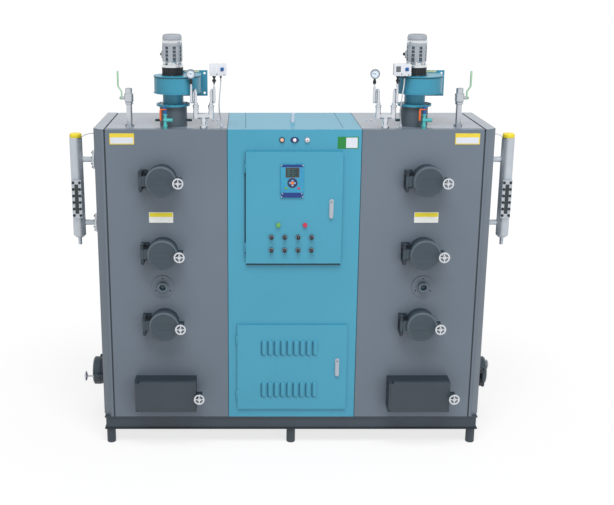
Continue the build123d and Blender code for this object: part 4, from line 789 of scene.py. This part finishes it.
# Level columns: bolts of the gauge frame, branch flanges, weld beads, cap and gland of the probe
def level_column(side):
    dark = fixed("gauge_frame_bolts", "dark_bolt", "black_plastic")
    place = front(side * COLUMN_X, 262, 1540)
    for row in range(6):
        for x in (-20.5, 20.5):
            dark.bolt(shifted(place, x, (row - 2.5) * 42.2), 14.5, 5.4, False)
    beads = fixed("column_beads", "stainless")
    for height in (1785, 1377):
        flange = at((side * SIDE_X, COLUMN_Y, height), (0, 1, 0), (side, 0, 0))
        beads.ring(shifted(flange, 0, 0, 16), 18.6, 2.0, 40, 10)
        beads.ring(shifted(flange, 0, 0, 127), 18.6, 2.6, 40, 10)
        bolts = fixed("branch_bolts", "bolt_steel", "stainless")
        beads.turn(flange, [(17, 46), (60, 46), (62, 48), (62, 58), (60, 60), (22, 60), (17, 65)], 64)
        for spot in around(flange, 8, 50, 60, 22.5):
            bolts.bolt(spot, 13, 6)
    tube = upright(side * COLUMN_X, COLUMN_Y, 0)
    beads.solid(tube, [(38.6, 1919), (38.6, 1924)], 64)
    cap = fixed("level_cap_shells", "yellow_plastic", None, 40, ("level_caps",))
    crown = [(38, 1942), (36.6, 1947), (32.5, 1950.6), (26, 1952)]
    cap.solid(tube, [(37.2, 1920), (38, 1921)] + crown, 72)
    place = at((side * PROBE_X, COLUMN_Y, PROBE_Z), (0, 1, 0), (side, 0, -0.35))
    glands = fixed("probe_glands", "white_plastic")
    glands.solid(place, [(4.4, -2), (5.6, 4), (5.6, 16)], 28)


# Motor of a blower: bell, staves with barred slots, grooved cowl, terminal box and ball gland
COWL = (
    (0, 2571), (44, 2571), (50, 2569.4), (54.6, 2565), (57.4, 2557), (58.6, 2543),
    (56.4, 2541.4), (56.4, 2537.6), (59.6, 2536), (60.2, 2533), (60.2, 2522.6), (59, 2520.6),
    (60, 2518), (60, 2505), (58, 2501), (0, 2500),
)
BELL = (
    (58, 2416), (56, 2412), (50, 2409), (47, 2402), (48, 2394),
    (62, 2393), (64, 2391), (64, 2379), (62, 2377), (0, 2377),
)


def motor(name, side):
    centre = upright(side * BLOWER_X, BLOWER_Y, 0)
    shell = fixed(f"motor_{name}_shell", "motor_alloy", None, 34, ("fan_motors",))
    shade = fixed(f"motor_{name}_slots", "motor_shade", "motor_alloy")
    bright = fixed(f"motor_{name}_cap", "motor_painted_highlight", "motor_alloy", 34)
    shell.turn(centre, COWL[:8], 72)
    # The band of the cowl and the bell take the brighter copy: painted highlight
    bright.turn(centre, COWL[7:12], 72)
    shell.turn(centre, COWL[11:], 72)
    # The core behind the staves takes the darker copy: painted shade in the slots
    shade.solid(centre, [(51.6, 2502), (51.6, 2413)], 72)
    bright.turn(centre, BELL, 72)
    for step in range(8):
        spot = turned(centre, -97.2 + 22.5 + 45 * step)
        for height in (2482, 2461, 2440):
            shell.block(spot, (50, -8, height - 2.6), (58, 8, height + 2.6), 1.6, 2)
        stave = turned(centre, -97.2 + 45 * step)
        arc = [radians(-13.8 + 4.6 * turn) for turn in range(7)]
        outline = [(60 * cos(a), 60 * sin(a)) for a in arc]
        outline += [(50 * cos(a), 50 * sin(a)) for a in arc[::-1]]
        shell.prism(stave, outline, 2413, 2503, 1.8, 2)
        bright.block(stave, (44, -6, 2393), (58, 6, 2413), 2.4, 2)
    lid = at((side * BLOWER_X, BLOWER_Y, 2451), (0, 0, 1), (cos(radians(150)), sin(radians(150)), 0))
    shell.prism(lid, rounded(46, 46, 6), 40, 64, 2, 2)
    black = fixed("motor_glands", "black_plastic")
    black.nut(lid, 17, 64, 69)
    ball = [(10 * sin(pi * step / 10), 77 - 10 * cos(pi * step / 10)) for step in range(11)]
    black.turn(lid, [(0, 67)] + ball[1:-1] + [(0, 87)], 32)


# Blowers: flange bolts, coupling bands, peg sleeves, slots of the cowl, and painted shade on the casing
def blower(name, side):
    x = side * BLOWER_X
    deck = upright(x, BLOWER_Y, 0)
    teal_bolts = fixed("inlet_bolts", "fan_teal", "casing_teal")
    for spot in around(deck, 8, 86, 2163, 22.5):
        teal_bolts.bolt(spot, 8, 2.4, False)
    bolts = fixed("blower_bolts", "bolt_steel", "stainless")
    for spot in around(deck, 4, 55, 2393, 45):
        bolts.bolt(spot, 11, 6)
    for spot in around(deck, 6, 71, 2331, -90):
        bolts.bolt(spot, 8, 3, False)
    band = fixed("coupling_bands", "black_plastic")
    for height in (2334, 2374):
        edge = shifted(deck, 0, 0, height)
        band.turn(edge, [(62, -2.6), (64.2, -2.2), (64.2, 2.2), (62, 2.6)], 64)
    pegs = fixed("stand_pegs", "peg_teal", "black_plastic")
    for way in (-1, 1):
        peg = at((x + way * 80, BLOWER_Y, 2061), (0, 1, 0), (way, 0, 0))
        pegs.solid(peg, [(8, 0), (8, 28), (7, 31)], 32)
    motor(name, side)
    slots = fixed("cowl_slots", "dark_inside", "black_plastic")
    for ring_radius, count in ((14, 6), (26, 12), (38, 18)):
        for turn in range(count):
            spot = turned(deck, 360 * turn / count)
            slots.prism(shifted(spot, ring_radius, 0), capsule(3.2, 8, 4), 2571, 2571.3)
    casing = fixed("outlet_seams", "fan_seam", "casing_teal")
    casing.block(deck, (162.4, 20, 2232), (164.6, 150, 2326), 0.6, 1)
    # Dark bands of painted shade under the fan casing's top lip
    lines = fixed("fan_lip_shades", "seam_and_shade_teal", "casing_teal")
    for low_turn, middle_y, reach in ((180, 0, 129.8), (270, 17.3, 147.1)):
        arc = [radians(low_turn + 7.5 * step) for step in range(13)]
        outer = [(17.3 + reach * cos(a), middle_y + reach * sin(a)) for a in arc]
        inner = [(17.3 + (reach - 4) * cos(a), middle_y + (reach - 4) * sin(a)) for a in arc[::-1]]
        lines.prism(deck, outer + inner, 2320, 2325.8)


def on_manifold(side, reach):
    """An upright place beside the middle of a steam manifold."""
    return upright(side * MANIFOLD_X + reach, MANIFOLD_Y, 0)


# Pressure gauges: case, bezel, dial with plain numbers, needle and nuts
def dial_number(text, place, size):
    """Plain digits as a mesh that lies in the local XY plane."""
    data = bpy.data.curves.new("digits", "FONT")
    data.body = text
    data.size = size
    data.align_x = "CENTER"
    data.align_y = "CENTER"
    holder = linked("digits", data)
    bpy.context.view_layer.update()
    shape = bpy.data.meshes.new_from_object(holder)
    shape.transform(place)
    fixed("dial_marks", "black_plastic").mesh.from_mesh(shape)
    bpy.data.objects.remove(holder)
    bpy.data.meshes.remove(shape)


def pressure_gauge(side):
    place = front(side * MANIFOLD_X + GAUGE_REACH, -5, 2351)
    case = fixed("gauge_cases", "gauge_ring", "gauge_case", 40, ("pressure_gauges",))
    rim = [(28.6, 8), (28.6, 12), (27, 13.4), (23.4, 13), (21.8, 10), (21.8, 9)]
    case.solid(place, [(24, -13), (27, -10), (27, 6)] + rim, 64)
    fixed("gauge_dials", "dial_white", "white_plastic").solid(place, [(21.7, 9), (21.7, 9.4)], 56)
    marks = fixed("dial_marks", "black_plastic")
    for step in range(31):
        spot = turned(place, 225 - 9 * step)
        inner = 16.6 if step % 5 == 0 else 18.4
        marks.block(spot, (inner, -0.35, 9.4), (20.2, 0.35, 9.6))
    for index in range(7):
        angle = radians(225 - 45 * index)
        dial_number(str(index * 2), shifted(place, 13.2 * cos(angle), 13.2 * sin(angle), 9.5), 4.4)
    needle = turned(shifted(place, 0, 0, 10), 225 - 9 * 7)
    marks.prism(needle, [(-6, -1.1), (16.6, -0.3), (16.6, 0.3), (-6, 1.1)], 0, 0.5)
    marks.turn(place, [(0, 9.6), (2.4, 9.6), (2.4, 11.6), (0, 11.8)], 20)
    stem = on_manifold(side, GAUGE_REACH)
    nuts = fixed("gauge_nuts", "black_plastic")
    nuts.nut(stem, 18, 2296, 2309)
    nuts.solid(stem, [(8, 2309), (6.5, 2317), (6.5, 2326)], 28)
    nuts.turn(stem, [(0, 2288), (7, 2290), (9, 2296), (0, 2296)], 28)


# Pressure switches: white case with a window and a blue adjuster
SWITCH_WINDOWS = {"left": "case_white", "right": "window_grey"}


def pressure_switch(side, window):
    place = front(side * MANIFOLD_X + 87, MANIFOLD_Y, 2374.5)
    case = fixed("switch_cases", "case_white", "white_plastic", 40, ("pressure_switches",))
    case.prism(place, rounded(100, 69, 5), -27, 17, 2.0, 3)
    case.prism(place, rounded(97, 66, 5), 17, 18.2)
    case.prism(place, rounded(100, 69, 5), 18.2, 27, 2.6, 3)
    fixed(f"switch_window_{window}", window, "gauge_glass").prism(
        shifted(place, -25, 5), rounded(28, 34, 3), 27, 27.8, 0.3, 1)
    fixed("switch_frames", "white_plastic").prism(
        shifted(place, -25, 5), rounded(33, 39, 4), 26.8, 27.4, 0.3, 1)
    knob = shifted(place, 25, 4)
    blue = fixed("switch_adjusters", "gland_blue", "display_plastic")
    blue.prism(knob, rounded(20, 20, 3), 27, 30, 0.8, 2)
    blue.turn(knob, [(0, 30), (6.5, 30), (6.0, 32.4), (0, 32.6)], 32)
    screws = fixed("switch_screws", "dark_bolt", "stainless")
    for x, y in ((-5, -24), (36, -28)):
        screws.screw(shifted(place, x, y, 27), 6)
    stem = on_manifold(side, SWITCH_REACH)
    cone = fixed("switch_nuts", "black_plastic")
    cone.solid(stem, [(11, 2338), (11, 2334), (5.5, 2322)], 32)
    cone.nut(stem, 21, 2304, 2317)
    cone.solid(stem, [(6, 2322), (6, 2296), (5, 2292)], 28)
    gland = on_manifold(side, 103)
    cone.nut(gland, 13, 2334, 2340)
    cone.solid(gland, [(6, 2334), (5.4, 2328), (4.6, 2325)], 28)


# Pipework on the deck: nuts and loops of the manifold, drain valves, and trims of the steam valves
def manifold_fittings(side):
    nuts = fixed("manifold_nuts", "pipe_bright", "stainless")
    loops = fixed("siphon_loops", "pipe_bright", "stainless", 50)
    for arm, end in ((-45, GAUGE_REACH), (45, SWITCH_REACH)):
        arm_x, end_x = side * MANIFOLD_X + arm, side * MANIFOLD_X + end
        middle = (arm_x + end_x) / 2
        points = (
            (arm_x, MANIFOLD_Y, 2182), (arm_x, MANIFOLD_Y, 2249),
            (middle, 17, 2249), (middle, 17, 2184),
            (end_x, MANIFOLD_Y, 2184), (end_x, MANIFOLD_Y, 2262),
        )
        loops.tube(points, 7.5, 8)
    for arm in (-45, 45):
        stem = on_manifold(side, arm)
        nuts.nut(stem, 34, 2156, 2168)
        nuts.turn(stem, [(15, 2156), (17, 2154), (17, 2146), (15, 2144)], 36)
        nuts.nut(stem, 22, 2169, 2181)
        nuts.ring(shifted(stem, 0, 0, 2091), 15.4, 1.6, 40, 10)
    riser = on_manifold(side, 0)
    nuts.turn(riser, [(13, 2072), (18, 2073), (18, 2085), (16, 2088), (13, 2088)], 40)
    tee = at((side * MANIFOLD_X, MANIFOLD_Y, 2103), (0, 1, 0), (1, 0, 0))
    for reach in (-26, 22):
        nuts.turn(shifted(tee, 0, 0, reach), [(14, -4), (17.4, -3), (17.4, 5), (14, 6)], 40)
    for reach in (GAUGE_REACH, SWITCH_REACH):
        stem = on_manifold(side, reach)
        nuts.turn(stem, [(5, 2262), (7, 2263), (7, 2274), (5, 2275)], 24)


def drain_valve(name, side):
    drain = upright(side * DRAIN_X, DRAIN_Y, 0)
    teal = fixed("drain_bodies", "valve_teal", None, 40, ("drain_valves",))
    turns = [radians(turn) for turn in range(50, 141, 15)]
    foot = [(13, DECK_Z), (13, 2038), (10.6, 2040), (10.6, 2064)]
    ball = [(13.8 * sin(turn), 2080 - 13.8 * cos(turn)) for turn in turns]
    teal.solid(drain, foot + ball + [(8.8, 2098), (8.8, 2117)], 40)
    teal.nut(drain, 26, 2040, 2050)
    teal.nut(drain, 22, 2106, 2116)
    branch = at((side * DRAIN_X, DRAIN_Y, 2080), (0, 1, 0), (1, 0, 0))
    rim = [(10.4, 38), (11.8, 39), (11.8, 43.4), (10.6, 44), (8.2, 44), (8.2, 30)]
    teal.solid(branch, [(10.4, 4)] + rim, 36)
    blue = fixed("drain_glands", "gland_blue", "display_plastic")
    blue.nut(drain, 20, 2116, 2139)
    blue.solid(drain, [(5, 2116), (5, 2160)], 24)
    blue.nut(drain, 20, 2147, 2160)
    sleeve = piece(f"drain_lever_sleeve_{name}", f"drain_lever_{name}", "lever_orange")
    grip = at((side * DRAIN_X - 27.5, DRAIN_Y, 0), (0, -1, 0), (0, 0, 1))
    sleeve.prism(grip, rounded(19, 11, 4.5), 2078, 2139, 1.6, 2)


def steam_valve(name, side):
    steam = upright(side * STEAM_X, STEAM_Y, 0)
    steel = fixed("steam_trims", "stainless")
    steel.nut(steam, 45, 2161, 2173)
    studs = fixed("steam_studs", "bolt_steel", "stainless")
    for offset in (-21.5, 21.5):
        studs.bolt(upright(side * STEAM_X + offset, STEAM_Y, DECK_Z), 9, 8)
    steel.turn(steam, [(18, DECK_Z), (20.5, DECK_Z), (20.5, 2031), (18, 2033)], 44)
    stem = at((side * STEAM_X, STEAM_Y, 2199), (0, 0, 1), (side, 0, 0))
    steel.nut(stem, 16, 48.5, 55)
    steel.turn(stem, [(0, 55), (3.6, 55), (3.2, 59), (0, 59.6)], 20)
    lever = piece(f"steam_lever_sleeve_{name}", f"steam_lever_{name}", "lever_green")
    place = at((side * 1051, STEAM_Y, 2199), (0, side, 0), (side, 0, 0))
    lever.prism(place, rounded_strip(21, 74, 161), -4.6, 4.6, 1.8, 3)


# Fixings of the hidden sides: screws along the rear edges and the covers
def plain_fixings():
    screws = fixed("panel_screws", "dark_bolt", "casing_grey")
    back = at((0, BACK_Y, 0), (-1, 0, 0), (0, 1, 0))
    for x in (-1150, -430, -370, 370, 430, 1150):
        for row in range(7):
            screws.screw(shifted(back, x, 250 + row * 285, 0), 11)
    for side in (-1, 1):
        cover = side_frame(side, 0, 0)
        for row in range(7):
            screws.screw(shifted(cover, side * (BACK_Y - 24), 250 + row * 285, 0), 11)


louvre_hoods()
door_painted_shadows()
seams_and_plugs()
for name, side in SIDES.items():
    sight_port(side)
    level_column(side)
    blower(name, side)
    pressure_gauge(side)
    pressure_switch(side, SWITCH_WINDOWS[name])
    manifold_fittings(side)
    drain_valve(name, side)
    steam_valve(name, side)
plain_fixings()
base_lips()
side_sheets()

for gathered in Piece.made.values():
    gathered.close()


# Looks of the construction pieces that stay
OWN_LOOK = {
    # Door necks and ash frames take the darker grey of painted shade
    "door_necks": "dark_painted_shade",
    "ash_frames": "dark_painted_shade",
    "deck_fittings": "label_white",
    "sight_ports": "casing_grey",
    "steam_manifolds": "pipe_bright",
    "ash_door_left": "ash_grey",
    "ash_door_right": "ash_grey",
    "level_columns": "column_steel",
    "blower_stands": "stand_grey",
    "fan_housing_left": "fan_teal",
    "fan_housing_right": "fan_teal",
}
NODE_LOOK = {part["node"]: part["material_slot"] for part in frame["record"]["subparts"]}
for node, made in NODES.items():
    look = OWN_LOOK.get(node) or NODE_LOOK.get(node, "door_grey")
    if look == "lamp_plastic":
        look = "lens_white"
    made.data.materials.clear()
    made.data.materials.append(M[look])
    made.data.polygons.foreach_set("use_smooth", [True] * len(made.data.polygons))
    weld = made.modifiers.new("weld", "WELD")
    weld.merge_threshold = WELD_REACH
    soften = made.modifiers.new("bevel", "BEVEL")
    soften.width = EDGE_WIDTH
    soften.segments = 2
    soften.limit_method = "ANGLE"
    soften.angle_limit = radians(40)
    flatten = made.modifiers.new("normals", "WEIGHTED_NORMAL")
    flatten.keep_sharp = True


# Floor and world show white to the camera and in reflections; the floor keeps the shadow
def seen_by(tree, *rays):
    """1 for the rays of these kinds and 0 for the others."""
    path = add_node(tree, "ShaderNodeLightPath")
    seen = path.outputs[rays[0]]
    for ray in rays[1:]:
        either = add_node(tree, "ShaderNodeMath")
        either.operation = "MAXIMUM"
        tree.links.new(seen, either.inputs[0])
        tree.links.new(path.outputs[ray], either.inputs[1])
        seen = either.outputs[0]
    return seen


floor_mesh = bpy.data.meshes.new("floor")
floor_mesh.from_pydata([(-40, -40, 0), (40, -40, 0), (40, 40, 0), (-40, 40, 0)], [], [(0, 1, 2, 3)])
floor = linked("floor", floor_mesh)
look = bpy.data.materials.new("floor")
look.use_nodes = True
tree = look.node_tree
join = tree.links.new
diffuse = tree.nodes["Principled BSDF"]
diffuse.inputs["Base Color"].default_value = (0.82, 0.82, 0.82, 1)
diffuse.inputs["Roughness"].default_value = 0.9
diffuse.inputs["Specular IOR Level"].default_value = 0.1
glow = add_node(tree, "ShaderNodeEmission", {"Strength": 1.04})
where = add_node(tree, "ShaderNodeTexCoord")
distance = add_node(tree, "ShaderNodeVectorMath")
distance.operation = "LENGTH"
join(where.outputs["Object"], distance.inputs[0])
limits = {"From Min": 1.2, "From Max": 4.5, "To Min": 0.74, "To Max": 1.0}
spread = add_node(tree, "ShaderNodeMapRange", limits)
spread.interpolation_type = "SMOOTHSTEP"
join(distance.outputs["Value"], spread.inputs["Value"])
share = add_node(tree, "ShaderNodeMath")
share.operation = "MULTIPLY"
join(seen_by(tree, "Is Camera Ray", "Is Glossy Ray"), share.inputs[0])
join(spread.outputs["Result"], share.inputs[1])
mix = add_node(tree, "ShaderNodeMixShader")
join(share.outputs[0], mix.inputs["Fac"])
join(diffuse.outputs[0], mix.inputs[1])
join(glow.outputs[0], mix.inputs[2])
join(mix.outputs[0], tree.nodes["Material Output"].inputs["Surface"])
floor_mesh.materials.append(look)

world = bpy.data.worlds.new("world")
bpy.context.scene.world = world
world.use_nodes = True
tree = world.node_tree
light = tree.nodes["Background"]
light.inputs["Color"].default_value = (1, 1, 1, 1)
strength = add_node(tree, "ShaderNodeMapRange", {"To Min": 0.36, "To Max": 1.0})
rays = seen_by(tree, "Is Camera Ray", "Is Glossy Ray", "Is Transmission Ray")
tree.links.new(rays, strength.inputs["Value"])
tree.links.new(strength.outputs["Result"], light.inputs["Strength"])


def softbox(name, place, target, size, power):
    data = bpy.data.lights.new(name, "AREA")
    data.shape = "RECTANGLE"
    data.size, data.size_y = size
    data.energy = power
    made = linked(name, data)
    made.location = place
    made.visible_glossy = False
    made.rotation_euler = (Vector(target) - Vector(place)).to_track_quat("-Z", "Y").to_euler()


softbox("key", (0.0, -6.4, 12.5), (0, 0, 1.0), (9.0, 5.6), 1590)
softbox("fill", (4.6, -6.4, 3.0), (0, 0, 1.1), (3.0, 3.0), 110)
